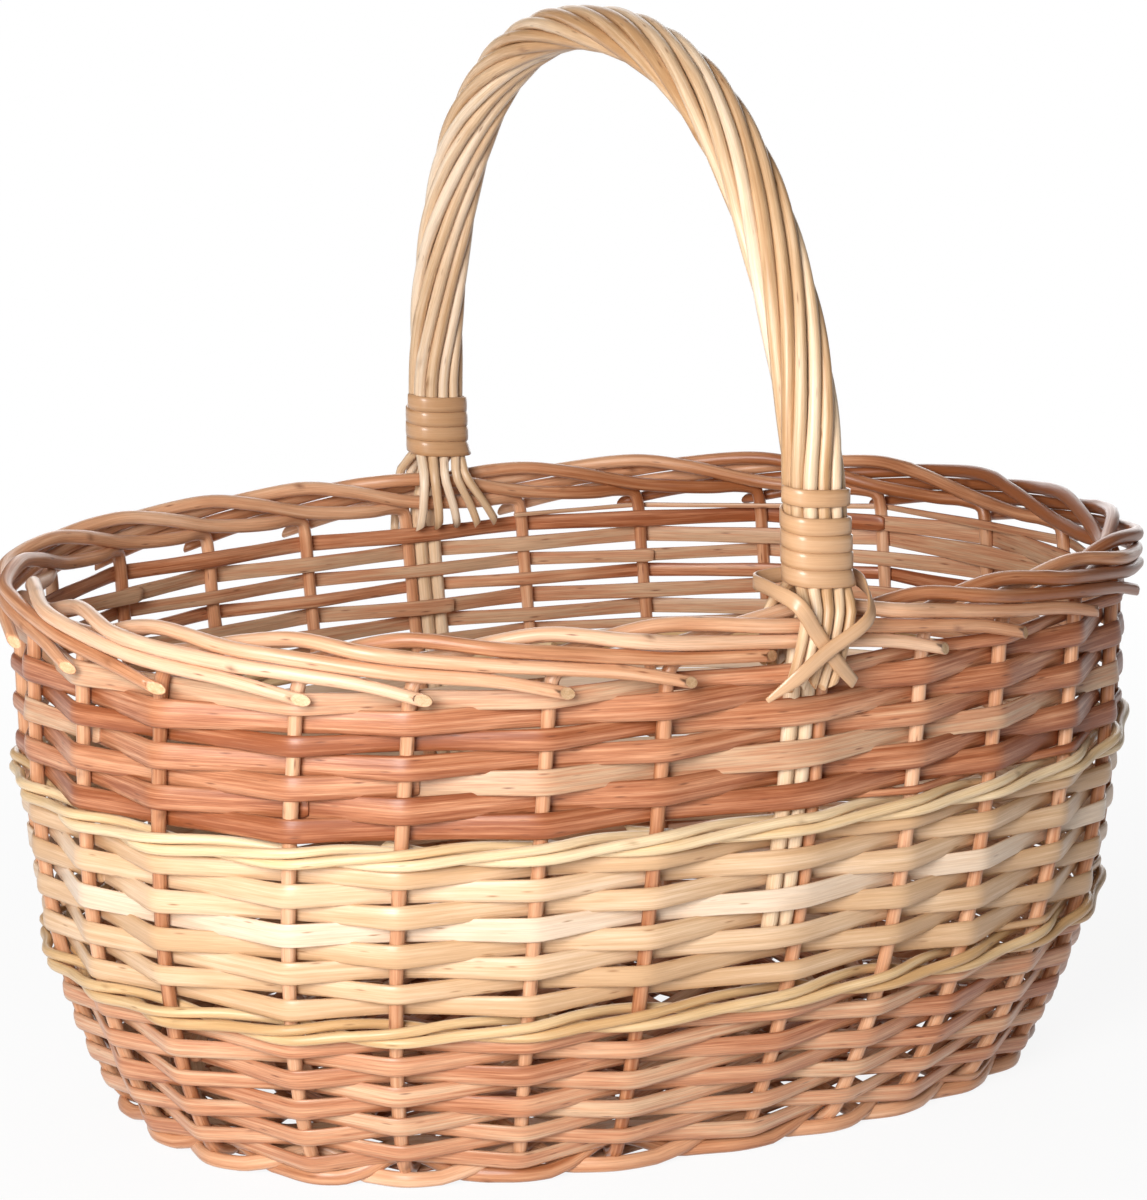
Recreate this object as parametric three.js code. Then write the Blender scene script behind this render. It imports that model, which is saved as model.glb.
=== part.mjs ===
// Oval willow basket with a fixed bow handle, woven from separate rods and split strips.
// Millimetres, +Z up, long axis along X, front at -Y, standing on z = 0.
import * as THREE from 'three';

// Oval of the basket, measured on the centre lines of the stakes
const MOUTH_LENGTH = 446;
const MOUTH_WIDTH = 317;
const BASE_LENGTH = 370;
const BASE_WIDTH = 246;
const OVAL_POWER = 2.4;

// Upright wall: height where the border starts, and how fast the flare dies away
const WALL_HEIGHT = 200;
const FLARE_POWER = 3.2;
const STAKE_LEAN = 0.012; // part of a full turn that a stake leans between its foot and its top

// Distance from each stake to the next, round the mouth from the left end; only the ratios count
const STAKE_SPACING = [
  50, 46, 55, 41, 51, 45, 65, 45, 40, 48, 41,
  54, 54, 54, 54, 54, 54, 54, 54,
  49, 49, 49, 49, 49, 49,
];
const FRONT_HANDLE_STAKE = 7;
const BACK_HANDLE_STAKE = 19;

// Rods and strips
const STAKE_RADIUS = 2.7;
const BORDER_RADIUS = 2.6;
const STRIP_THICKNESS = 1.8;
const WALE_ROD = 4.4; // side of a wale rod's section
const FOOT_ROD = 4.2; // side of a foot wale rod's section
const CLEARANCE = 0.35;
const ROW_GAP = 0.5; // between the rows of a band
const LEAST_STRIP = 1.6; // height of a strip where its first or last round tapers out
const STEEPEST_PASS = 0.44; // radians between a strip and the wall as it rounds a stake

// Bands of the wall
const LOWER_ROWS = 9;
const PALE_ROWS = 8;
const UPPER_ROWS = 7;
const LOWER_WALE_HEIGHT = 70;
const UPPER_WALE_HEIGHT = 138;

// Foot: the stakes turn in under the wall and run inwards as tails
const FOOT_BEND_RADIUS = 12;
const TAIL_LENGTH = 28;
const TAIL_SLOPE = -0.26; // radians, falling outwards, so that the middle of the base is raised
const FOOT_WALE_SLOPE = 0.55; // radians, slope of a stake where the foot wale grips it
const FOOT_PAD = 7; // length of the flat under each stake that the basket stands on
const RIM_ROWS = 3;
const RIM_INSET = 4; // of the base's rim weave from the start of the foot bend

// Base inside the tails
const SHORT_STICKS = 5;
const SHORT_STICK_SHARE = 0.48; // part of the base's length that the short sticks are spread over
const STICK_SIZE = 7;
const LONG_STICKS = 4;
const LONG_STICK_SIZE = 4.4;
const LONG_STICK_SPACING = 5;
const FAN_ANGLE = 0.56; // radians from one long stick to the next at their opened ends
const FAN_CLEAR = 25; // length of the opened ends that the base weavers leave free
const BASE_ROUNDS = 3.5; // rounds of each of the two base weavers
const BASE_STRIP_THICKNESS = 2.2;
const BASE_MARGIN = 0.8; // between the base sticks and the stakes' tails

// Border: each stake turns in behind the next, crosses over the top and comes down outside
const BORDER_TOP = 17.2; // height of the rods over the top of the wall where they cross over
const BORDER_SPAN = 5; // stakes from a border rod's own stake to the one that it ends at
const TOP_BEND = 4; // a stake starts to turn this far below the top of the wall

// Handle
const LEG_X = 8; // where the bow rods stand in the wall
const HANDLE_X = 14.5; // where the arch stands
const HANDLE_TOP_X = 9.5; // top of the arch
const HANDLE_HEIGHT = 418; // top of the handle's centre line
const HANDLE_POWER = 2.25;
const BOW_RADIUS = 3.05;
const BOW_TIP_HEIGHT = 90;
const STRAND_COUNT = 10;
const STRAND_SIZE = 4; // side of a strand's section
const STRAND_TWIST = 1.6; // turns between the two bindings
const STATION_STEP = 24; // length of a straight stretch of the handle

// Feet of the handle; rises are counted from the top of the wall
const BEND_RISE = 3; // below this height the strands run in towards the wall
const SPLAY_RISE = 18.5; // up to this height the strands lie side by side over the border
const NECK_RISE = 28.5; // and from this height up they are gathered round the bow rods
const SPLAY_GAP = 0.8; // between the strands where they lie side by side
const OUTER_FOOT_RISE = -9; // of the outer strands' ends
const OUTER_FOOT_OUT = 9.5; // from the middle of the wall
const INNER_FOOT_RISE = -3;
const INNER_FOOT_OUT = 10.2;
const FOOT_X = 6.6; // middle of the strands' ends
const FOOT_STEP = 4.6; // from strand to strand at their ends
const WIDE_FOOT_X = 18.7; // the same two for the inner strands at the back, which are spread wide
const WIDE_FOOT_STEP = 8.8;

// Cane
const CANE_WIDTH = 5.8;
const CANE_THICKNESS = 1.2;
const CANE_PITCH = 6.4;
const CANE_RISE = 26.5; // start of a binding over the top of the wall
const FRONT_TURNS = 4.75;
const FRONT_GAP = 4; // below the last turn of the front binding
const BACK_TURNS = 3.75;
const LASHING_WIDTH = 5.2;
const LASHING_HALF = 19.5; // half the width of the lashing's loop round the neck
const LOOP_RISE = 26.5;
const LASHING_DROP = 9; // the lashing's ends lie this far below the top of the wall

const ROD_SIDES = 5;
const BROWN = '#b5794f';
const PALE = '#ecd9a8';
const RUSSET = '#a96f4c';
const HANDLE_COLOUR = '#dcb988';
const CANE_COLOUR = '#d9b183';

const UP = new THREE.Vector3(0, 0, 1);
const STAKES = STAKE_SPACING.length;
const TURN = 2 * Math.PI;
const basket = new THREE.Group();

function lerp(from, to, part) {
  return from + (to - from) * part;
}

function along(point, direction, distance) {
  return point.clone().addScaledVector(direction, distance);
}

// Closed mesh through a list of loops that all have the same number of points
function skin(loops) {
  const sides = loops[0].length;
  const positions = loops.flat().flatMap((point) => point.toArray());
  const index = [];
  for (let row = 0; row + 1 < loops.length; row += 1) {
    for (let side = 0; side < sides; side += 1) {
      const next = (side + 1) % sides;
      const a = row * sides + side;
      const b = row * sides + next;
      index.push(a, b, b + sides, a, b + sides, a + sides);
    }
  }
  const last = (loops.length - 1) * sides;
  for (let side = 1; side + 1 < sides; side += 1) {
    index.push(0, side + 1, side, last, last + side, last + side + 1);
  }
  return closedGeometry(positions, index);
}

// Turns the faces outwards where the loops run the other way round
function closedGeometry(positions, index) {
  const corner = (entry) => new THREE.Vector3().fromArray(positions, 3 * index[entry]);
  let volume = 0;
  for (let face = 0; face < index.length; face += 3) {
    volume += corner(face).dot(corner(face + 1).cross(corner(face + 2)));
  }
  const facing = volume > 0 ? index : index.toReversed();
  const geometry = new THREE.BufferGeometry();
  geometry.setAttribute('position', new THREE.Float32BufferAttribute(positions, 3));
  geometry.setIndex(facing);
  return geometry;
}

function add(name, geometry, colour) {
  const material = new THREE.MeshStandardMaterial({ color: colour, roughness: 0.6, metalness: 0 });
  const mesh = new THREE.Mesh(geometry, material);
  mesh.name = name;
  basket.add(mesh);
}

// Rod through points; radii holds one radius for each point
function rod(points, radii) {
  const loops = [];
  let side = null;
  points.forEach((point, index) => {
    const before = points[Math.max(index - 1, 0)];
    const after = points[Math.min(index + 1, points.length - 1)];
    const inDirection = point.clone().sub(before).normalize();
    const outDirection = after.clone().sub(point).normalize();
    const tangent = inDirection.add(outDirection).normalize();
    if (side === null) {
      side = Math.abs(tangent.z) < 0.9 ? UP.clone() : new THREE.Vector3(1, 0, 0);
    }
    side = along(side, tangent, -side.dot(tangent)).normalize();
    const other = tangent.clone().cross(side);
    const loop = [];
    for (let corner = 0; corner < ROD_SIDES; corner += 1) {
      const angle = (TURN * corner) / ROD_SIDES;
      const edge = along(point, side, radii[index] * Math.cos(angle));
      loop.push(along(edge, other, radii[index] * Math.sin(angle)));
    }
    loops.push(loop);
  });
  return skin(loops);
}

// Four corners of a strip: across is its width direction and through its thickness direction
function stripLoop(centre, across, width, through, thickness) {
  return [[-1, -1], [1, -1], [1, 1], [-1, 1]].map(([a, t]) => {
    const edge = along(centre, across, (a * width) / 2);
    return along(edge, through, (t * thickness) / 2);
  });
}

// Oval of the mouth by arc length, so that a place round it is a fraction of a full turn
const OVAL_STEPS = 1440;

function ovalPoint(halfLength, halfWidth, angle) {
  const c = Math.cos(angle);
  const s = Math.sin(angle);
  const power = 2 / OVAL_POWER;
  const x = halfLength * Math.sign(c) * Math.abs(c) ** power;
  const y = halfWidth * Math.sign(s) * Math.abs(s) ** power;
  return new THREE.Vector3(x, y, 0);
}

const ovalLengths = [0];
for (let step = 1; step <= OVAL_STEPS; step += 1) {
  const here = ovalPoint(MOUTH_LENGTH / 2, MOUTH_WIDTH / 2, (TURN * step) / OVAL_STEPS);
  const before = ovalPoint(MOUTH_LENGTH / 2, MOUTH_WIDTH / 2, (TURN * (step - 1)) / OVAL_STEPS);
  ovalLengths.push(ovalLengths[step - 1] + here.distanceTo(before));
}
const PERIMETER = ovalLengths[OVAL_STEPS];

function ovalAngle(fraction) {
  const whole = Math.floor(fraction);
  const length = (fraction - whole) * PERIMETER;
  let low = 0;
  let high = OVAL_STEPS;
  while (high - low > 1) {
    const middle = (low + high) >> 1;
    if (ovalLengths[middle] > length) high = middle;
    else low = middle;
  }
  const part = (length - ovalLengths[low]) / (ovalLengths[high] - ovalLengths[low]);
  return TURN * (whole + (low + part) / OVAL_STEPS);
}

// Fraction of a turn at which the mouth's oval has the given x, on the front or the back
function fractionAtX(x, isFront) {
  const cosine = Math.sign(x) * (Math.abs(x) / (MOUTH_LENGTH / 2)) ** (OVAL_POWER / 2);
  const angle = isFront ? TURN - Math.acos(cosine) : Math.acos(cosine);
  const step = (angle / TURN) * OVAL_STEPS;
  const low = Math.floor(step);
  return lerp(ovalLengths[low], ovalLengths[low + 1], step - low) / PERIMETER;
}

// Profile of a stake: how far it stands out from the base oval, and its height, by length.
// Straight tail, bend at the foot, then the wall in a few straight stretches.
const SPREAD = (MOUTH_LENGTH - BASE_LENGTH + MOUTH_WIDTH - BASE_WIDTH) / 4;
const WALL_BREAKS = [0.25, 0.58, 1];
const BEND_BREAKS = [0.5, 1];

function flare(height) {
  return SPREAD * (1 - (1 - Math.min(height / WALL_HEIGHT, 1)) ** FLARE_POWER);
}

const wallFoot = 2 * STAKE_RADIUS + 2 * FOOT_ROD;
const WALL_FOOT_SLOPE = Math.atan2(1, flare(wallFoot + 1) - flare(wallFoot));
const bendDrop = FOOT_BEND_RADIUS * (Math.cos(TAIL_SLOPE) - Math.cos(WALL_FOOT_SLOPE));
const bendReach = FOOT_BEND_RADIUS * (Math.sin(WALL_FOOT_SLOPE) - Math.sin(TAIL_SLOPE));
const bendOut = flare(wallFoot) - bendReach;
const bendLow = wallFoot - bendDrop;

const profile = [
  {
    out: bendOut - TAIL_LENGTH * Math.cos(TAIL_SLOPE),
    height: bendLow - TAIL_LENGTH * Math.sin(TAIL_SLOPE),
    length: -TAIL_LENGTH,
    slope: TAIL_SLOPE,
  },
  { out: bendOut, height: bendLow, length: 0, slope: TAIL_SLOPE },
];

function extendProfile(out, height, slope) {
  const last = profile[profile.length - 1];
  const length = last.length + Math.hypot(out - last.out, height - last.height);
  profile.push({ out, height, length, slope });
}

BEND_BREAKS.forEach((part) => {
  const slope = lerp(TAIL_SLOPE, WALL_FOOT_SLOPE, part);
  const out = bendOut + FOOT_BEND_RADIUS * (Math.sin(slope) - Math.sin(TAIL_SLOPE));
  const height = bendLow + FOOT_BEND_RADIUS * (Math.cos(TAIL_SLOPE) - Math.cos(slope));
  extendProfile(out, height, slope);
});
WALL_BREAKS.forEach((part) => {
  const height = lerp(wallFoot, WALL_HEIGHT, part);
  const slope = Math.atan2(1, flare(height + 0.5) - flare(height - 0.5));
  extendProfile(flare(height), height, slope);
});
const TOP_ALLOWANCE = 300;
extendProfile(flare(WALL_HEIGHT), WALL_HEIGHT + TOP_ALLOWANCE, Math.PI / 2);

function profileAt(length) {
  let low = 0;
  while (low + 2 < profile.length && profile[low + 1].length < length) low += 1;
  const from = profile[low];
  const to = profile[low + 1];
  const part = (length - from.length) / (to.length - from.length);
  return {
    out: lerp(from.out, to.out, part),
    height: lerp(from.height, to.height, part),
    slope: lerp(from.slope, to.slope, part),
  };
}

function lengthAtHeight(height) {
  let low = 1;
  while (low + 2 < profile.length && profile[low + 1].height < height) low += 1;
  const from = profile[low];
  const to = profile[low + 1];
  const part = (height - from.height) / (to.height - from.height);
  return lerp(from.length, to.length, part);
}

// Place on the wall: its point, outward normal and direction up the stake
function site(fraction, length) {
  const { out, height, slope } = profileAt(length);
  const rise = Math.min(height / WALL_HEIGHT, 1);
  const angle = ovalAngle(fraction - STAKE_LEAN * (1 - rise));
  const growth = out / SPREAD;
  const halfLength = lerp(BASE_LENGTH, MOUTH_LENGTH, growth) / 2;
  const halfWidth = lerp(BASE_WIDTH, MOUTH_WIDTH, growth) / 2;
  const point = ovalPoint(halfLength, halfWidth, angle);
  const normalX = Math.sign(point.x) * (Math.abs(point.x) / halfLength) ** (OVAL_POWER - 1) / halfLength;
  const normalY = Math.sign(point.y) * (Math.abs(point.y) / halfWidth) ** (OVAL_POWER - 1) / halfWidth;
  const flat = new THREE.Vector3(normalX, normalY, 0).normalize();
  const normal = along(UP.clone().multiplyScalar(-Math.cos(slope)), flat, Math.sin(slope));
  const rising = along(UP.clone().multiplyScalar(Math.sin(slope)), flat, Math.cos(slope));
  point.z = height;
  return { point, normal, rising, flat };
}

// Places of the stakes round the mouth; the two beside the handle are set by its bow rods
const BOW_SPACING = 2 * BOW_RADIUS + CLEARANCE;
const BOW_TO_STAKE = BOW_SPACING / 2 + BOW_RADIUS + STAKE_RADIUS + CLEARANCE;

function placeStakes() {
  const fractions = new Array(STAKES);
  fractions[FRONT_HANDLE_STAKE] = fractionAtX(LEG_X + BOW_TO_STAKE, true);
  fractions[BACK_HANDLE_STAKE] = fractionAtX(LEG_X - BOW_TO_STAKE, false) + 1;
  const arcs = [
    [FRONT_HANDLE_STAKE, BACK_HANDLE_STAKE, fractions[BACK_HANDLE_STAKE]],
    [BACK_HANDLE_STAKE, FRONT_HANDLE_STAKE + STAKES, fractions[FRONT_HANDLE_STAKE] + 1],
  ];
  arcs.forEach(([first, last, end]) => {
    const start = fractions[first % STAKES];
    let total = 0;
    for (let number = first; number < last; number += 1) total += STAKE_SPACING[number % STAKES];
    let done = 0;
    for (let number = first; number < last; number += 1) {
      fractions[number % STAKES] = start + ((end - start) * done) / total;
      done += STAKE_SPACING[number % STAKES];
    }
  });
  return fractions.map((fraction) => fraction % 1);
}

const stakeFractions = placeStakes();

// Fraction of a turn at a place counted in stakes, which may go on past a full round
function roundAt(place) {
  const stake = Math.floor(place);
  const from = stakeFractions[((stake % STAKES) + STAKES) % STAKES];
  let to = stakeFractions[(((stake + 1) % STAKES) + STAKES) % STAKES];
  if (to < from) to += 1;
  return lerp(from, to, place - stake);
}

// The bow rods stand beside the handle stakes, on the side that the stakes are counted from
const tipLength = lengthAtHeight(BOW_TIP_HEIGHT);
const groupWidth = (BOW_TO_STAKE + BOW_SPACING / 2) / PERIMETER;

// Places to pass at a stake: the stake itself, and first the far bow rod where there is one
function passes(stake, length) {
  const place = stake % STAKES;
  const fraction = stakeFractions[place];
  const isHandle = place === FRONT_HANDLE_STAKE || place === BACK_HANDLE_STAKE;
  if (isHandle && length > tipLength) return [fraction - groupWidth, fraction];
  return [fraction];
}

// Band of split strips: in front of one stake and behind the next, round after round.
// The first and last rounds taper, so the band has level edges.
const STRIP_OUT = (STAKE_RADIUS + CLEARANCE) / Math.cos(STEEPEST_PASS) + STRIP_THICKNESS / 2;

function band(from, to, rows) {
  const pitch = (to - from) / rows;
  const edge = (count) => Math.min(Math.max(from + (pitch * count) / STAKES, from), to);
  const loops = [];
  for (let count = 0; count < STAKES * (rows + 1); count += 1) {
    const low = edge(count - STAKES);
    const high = edge(count);
    const height = high - low - ROW_GAP;
    if (height >= LEAST_STRIP) {
      const side = count % 2 === 0 ? 1 : -1;
      const middle = (low + high) / 2;
      passes(count, high).forEach((fraction) => {
        const { point, normal, rising } = site(fraction, middle);
        const centre = along(point, normal, side * STRIP_OUT);
        loops.push(stripLoop(centre, rising, height, normal, STRIP_THICKNESS));
      });
    }
  }
  return skin(loops);
}

// Three-rod wale: each rod rises in front of two stakes and goes down behind the third.
// It is worked with one rod that goes round three times.
const WALE_OUT = (STAKE_RADIUS + CLEARANCE) / Math.cos(STEEPEST_PASS) + WALE_ROD / 2;
const WALE_STEP = WALE_ROD + 2 * CLEARANCE; // between the two rods in front of a stake
const WALE_CROSS = WALE_ROD; // from the middle of the wale to the rods that cross between stakes
const WALE_PASSES = [
  { out: -WALE_OUT, rise: 0, nextOut: 0, nextRise: -WALE_CROSS },
  { out: WALE_OUT, rise: -WALE_STEP / 2, nextOut: WALE_OUT, nextRise: 0 },
  { out: WALE_OUT, rise: WALE_STEP / 2, nextOut: 0, nextRise: WALE_CROSS },
];

function wale(length) {
  const loops = [];
  const section = (fraction, out, shift) => {
    const { point, normal, rising } = site(fraction, length);
    const centre = along(along(point, normal, out), rising, shift);
    loops.push(stripLoop(centre, rising, WALE_ROD, normal, WALE_ROD));
  };
  const counts = WALE_PASSES.length * STAKES;
  for (let count = 0; count < counts; count += 1) {
    const { out, rise, nextOut, nextRise } = WALE_PASSES[count % WALE_PASSES.length];
    passes(count, length).forEach((fraction) => section(fraction, out, rise));
    if (count + 1 < counts) {
      const next = passes(count + 1, length)[0];
      const here = stakeFractions[count % STAKES];
      const gap = (next - here + 1) % 1;
      section(here + gap / 2, nextOut, nextRise);
    }
  }
  return skin(loops);
}

// Foot wale: a pair of rods twisted round the bend of the stakes, worked with one rod that goes
// round twice.
// Under every other stake of a round it has a flat that stands on the floor.
const FOOT_LENGTH = (FOOT_WALE_SLOPE - TAIL_SLOPE) * FOOT_BEND_RADIUS;
const FOOT_OUT = STAKE_RADIUS + CLEARANCE + FOOT_ROD / Math.SQRT2;
const FOOT_CROSS = 0.66 * FOOT_ROD; // half the distance between the rods where they cross
const FOOT_SAG = FOOT_OUT / 3; // the rods cross this far below the stakes' centre lines

function footWale() {
  const loops = [];
  const section = (fraction, out, shift) => {
    const { point, normal, rising, flat } = site(fraction, FOOT_LENGTH);
    const centre = along(along(point, normal, out), rising, shift);
    loops.push(stripLoop(centre, UP, FOOT_ROD, flat, FOOT_ROD));
  };
  const pad = FOOT_PAD / PERIMETER / 2;
  for (let count = 0; count < 2 * STAKES; count += 1) {
    const side = count % 2 === 0 ? 1 : -1;
    const here = stakeFractions[count % STAKES];
    const gap = (stakeFractions[(count + 1) % STAKES] - here + 1) % 1;
    const ends = side > 0 ? [-pad, pad] : [0];
    ends.forEach((shift) => section(here + shift, side * FOOT_OUT, 0));
    if (count + 1 < 2 * STAKES) section(here + gap / 2, FOOT_SAG, side * FOOT_CROSS);
  }
  return skin(loops);
}

// Run of a stake in the border: place in stakes from its own, out in border widths to the wall's
// outside, height in border heights
const BORDER_SIDE = Math.max(STAKE_RADIUS, BOW_RADIUS) + BORDER_RADIUS + CLEARANCE;
const BORDER_RUN = [
  { place: 0.07, out: -0.1, height: 0.09 },
  { place: 0.2, out: -0.45, height: 0.12 },
  { place: 0.4, out: -1, height: 0.15 },
  { place: 1, out: -1, height: 0.4 },
  { place: 1.6, out: -0.8, height: 0.84 },
  { place: 2, out: -0.15, height: 1 },
  { place: 2.6, out: 1, height: 0.83 },
  { place: 3, out: 1, height: 0.69 },
  { place: 3.6, out: 1, height: 0.49 },
  { place: 4, out: 1, height: 0.36 },
];
const BORDER_END = [
  { place: 4.6, out: 1.15, height: 0.16 },
  { place: 5.1, out: 1.45, height: -0.06 },
];
const BORDER_SHORT_END = [{ place: 4.45, out: 1.1, height: 0.22 }];
const HANDLE_STAKES = [FRONT_HANDLE_STAKE, BACK_HANDLE_STAKE];
const BOW_REACH = 0.45; // part of a stake spacing before a handle stake that the bow rods take up

// The rods are pressed to the sides by the bow rods, and are cut short before the handle's foot
function borderRun(number) {
  const run = BORDER_RUN.map(({ place, out, height }) => {
    const isPressed = HANDLE_STAKES.some((handleStake) => {
      return (handleStake - number - place + 2 * STAKES) % STAKES < BOW_REACH;
    });
    return { place, out: isPressed ? Math.sign(out) : out, height };
  });
  const isShort = HANDLE_STAKES.includes((number + BORDER_SPAN) % STAKES);
  return [...run, ...(isShort ? BORDER_SHORT_END : BORDER_END)];
}

// Stake: tail, foot bend, wall, and its run in the border
function stakeRod(number) {
  const fraction = stakeFractions[number];
  const bendLength = lengthAtHeight(WALL_HEIGHT - TOP_BEND);
  const lengths = profile.map((entry) => entry.length).filter((length) => length < bendLength);
  const points = [...lengths, bendLength].map((length) => site(fraction, length).point);
  const radii = points.map(() => STAKE_RADIUS);
  borderRun(number).forEach(({ place, out, height }) => {
    const length = lengthAtHeight(WALL_HEIGHT + height * BORDER_TOP);
    const { point, flat } = site(roundAt(number + place), length);
    points.push(along(point, flat, out * BORDER_SIDE));
    radii.push(BORDER_RADIUS);
  });
  return rod(points, radii);
}

// Base: short sticks with a slot, long sticks threaded through them, and two weavers
const innerTail = profile[0];
const stickHeight = innerTail.height;
const baseGrowth = (innerTail.out - ROW_GAP) / SPREAD;
const baseHalfLength = lerp(BASE_LENGTH, MOUTH_LENGTH, baseGrowth) / 2 - BASE_MARGIN;
const baseHalfWidth = lerp(BASE_WIDTH, MOUTH_WIDTH, baseGrowth) / 2 - BASE_MARGIN;
const longBundle = (LONG_STICKS - 1) * LONG_STICK_SPACING + LONG_STICK_SIZE;
const lastShortStick = SHORT_STICK_SHARE * baseHalfLength;
const fanStart = lastShortStick + STICK_SIZE;
const middleLongStick = (LONG_STICKS - 1) / 2;

function shortStickX(number) {
  return lerp(-lastShortStick, lastShortStick, number / (SHORT_STICKS - 1));
}

function ovalY(halfLength, halfWidth, x) {
  return halfWidth * (1 - (Math.abs(x) / halfLength) ** OVAL_POWER) ** (1 / OVAL_POWER);
}

function shortStick(number) {
  const x = shortStickX(number);
  const half = ovalY(baseHalfLength, baseHalfWidth, x);
  const slotHalf = longBundle / 2 + CLEARANCE;
  const slotHeight = LONG_STICK_SIZE / 2 + CLEARANCE;
  const side = new THREE.Shape();
  side.moveTo(-half, -STICK_SIZE / 2);
  side.lineTo(half, -STICK_SIZE / 2);
  side.lineTo(half, STICK_SIZE / 2);
  side.lineTo(-half, STICK_SIZE / 2);
  side.closePath();
  const slot = new THREE.Path();
  slot.moveTo(-slotHalf, -slotHeight);
  slot.lineTo(-slotHalf, slotHeight);
  slot.lineTo(slotHalf, slotHeight);
  slot.lineTo(slotHalf, -slotHeight);
  slot.closePath();
  side.holes.push(slot);
  const geometry = new THREE.ExtrudeGeometry(side, { depth: STICK_SIZE, bevelEnabled: false });
  geometry.translate(0, 0, -STICK_SIZE / 2);
  geometry.rotateX(Math.PI / 2);
  geometry.rotateZ(Math.PI / 2);
  geometry.translate(x, 0, stickHeight);
  return geometry;
}

// Point on a long stick's opened end, at a distance from where it starts to turn
function fanPoint(number, end, distance) {
  const turn = (number - middleLongStick) * FAN_ANGLE;
  const x = end * (fanStart + distance * Math.cos(turn));
  const y = (number - middleLongStick) * LONG_STICK_SPACING + distance * Math.sin(turn);
  return new THREE.Vector3(x, y, stickHeight);
}

// Distance along a long stick's opened end at which it reaches the edge of the base
function fanLength(number) {
  const halfLength = baseHalfLength - LONG_STICK_SIZE / 2;
  const halfWidth = baseHalfWidth - LONG_STICK_SIZE / 2;
  const isInside = ({ x, y }) => x < halfLength && Math.abs(y) < ovalY(halfLength, halfWidth, x);
  let distance = 0;
  while (isInside(fanPoint(number, 1, distance))) distance += LONG_STICK_SIZE / 4;
  return distance;
}

function longStick(number) {
  const reach = fanLength(number);
  const places = [[-1, reach], [-1, 0], [1, 0], [1, reach]];
  const across = new THREE.Vector3(0, 1, 0);
  const loops = places.map(([end, distance]) => {
    return stripLoop(fanPoint(number, end, distance), across, LONG_STICK_SIZE, UP, LONG_STICK_SIZE);
  });
  return skin(loops);
}

// Stretches of stick that the base weavers cross, in order round the base from the right end.
// closest is the least distance along a weaver from such a stick to the next.
function baseCrossings() {
  const shortPart = (number, side) => {
    const x = shortStickX(number);
    const reach = [longBundle / 2 + CLEARANCE, ovalY(baseHalfLength, baseHalfWidth, x)];
    const [inner, outer] = reach.map((y) => new THREE.Vector3(x, side * y, stickHeight));
    return { inner, outer, size: STICK_SIZE, closest: shortStickX(1) - shortStickX(0) };
  };
  const fanClosest = LONG_STICK_SPACING + FAN_CLEAR * FAN_ANGLE;
  const longPart = (number, end) => {
    const reach = [FAN_CLEAR, fanLength(number)];
    const [inner, outer] = reach.map((distance) => fanPoint(number, end, distance));
    return { inner, outer, size: LONG_STICK_SIZE, closest: fanClosest };
  };
  const shorts = [...Array(SHORT_STICKS).keys()];
  const longs = [...Array(LONG_STICKS).keys()];
  return [
    ...longs.map((number) => longPart(number, 1)),
    ...shorts.toReversed().map((number) => shortPart(number, 1)),
    ...longs.toReversed().map((number) => longPart(number, -1)),
    ...shorts.map((number) => shortPart(number, -1)),
  ];
}

// The two weavers chase each other: where one is above a stick, the other is below it
function baseWeaver(start) {
  const crossings = baseCrossings();
  const rowsInAll = 2 * BASE_ROUNDS + 2;
  const loops = [];
  for (let count = 0; count < BASE_ROUNDS * crossings.length; count += 1) {
    const { inner, outer, size, closest } = crossings[count % crossings.length];
    const flush = size / 2 + 3 * CLEARANCE + BASE_STRIP_THICKNESS / 2;
    const lift = flush / (1 - size / closest);
    const row = (2 * count) / crossings.length + start + 0.5;
    const centre = inner.clone().lerp(outer, row / rowsInAll);
    centre.z += (count + start) % 2 === 0 ? lift : -lift;
    const across = outer.clone().sub(inner).normalize();
    const width = inner.distanceTo(outer) / rowsInAll - 2 * ROW_GAP;
    loops.push(stripLoop(centre, across, width, UP, BASE_STRIP_THICKNESS));
  }
  return skin(loops);
}

// Handle centre line: up out of the wall, leaning to the neck, then an arch.
// The arch is kept as stations; outward points away from the inside of the arch.
const neckHeight = WALL_HEIGHT + NECK_RISE;
const legSites = [true, false].map((isFront) => {
  return site(fractionAtX(LEG_X, isFront), lengthAtHeight(WALL_HEIGHT)).point;
});
const archHalf = (legSites[1].y - legSites[0].y) / 2;
const archMiddle = (legSites[1].y + legSites[0].y) / 2;
const ARCH_STEPS = 800;
const sideways = new THREE.Vector3(1, 0, 0);

function archPoint(angle) {
  const rise = Math.sin(angle) ** (2 / HANDLE_POWER);
  const run = Math.sign(Math.cos(angle)) * Math.abs(Math.cos(angle)) ** (2 / HANDLE_POWER);
  const x = lerp(HANDLE_X, HANDLE_TOP_X, rise);
  return new THREE.Vector3(x, archMiddle - archHalf * run, lerp(neckHeight, HANDLE_HEIGHT, rise));
}

function makeStations() {
  const dense = [archPoint(0)];
  const lengths = [0];
  for (let step = 1; step <= ARCH_STEPS; step += 1) {
    dense.push(archPoint((Math.PI * step) / ARCH_STEPS));
    lengths.push(lengths[step - 1] + dense[step].distanceTo(dense[step - 1]));
  }
  const total = lengths[ARCH_STEPS];
  const count = Math.round(total / STATION_STEP);
  const list = [];
  let low = 0;
  for (let station = 0; station <= count; station += 1) {
    const target = (total * station) / count;
    while (low + 2 < lengths.length && lengths[low + 1] < target) low += 1;
    const part = (target - lengths[low]) / (lengths[low + 1] - lengths[low]);
    const point = dense[low].clone().lerp(dense[low + 1], part);
    const tangent = dense[low + 1].clone().sub(dense[low]).normalize();
    const outward = new THREE.Vector3(0, -tangent.z, tangent.y);
    list.push({ point, outward, length: target });
  }
  return list;
}

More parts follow.
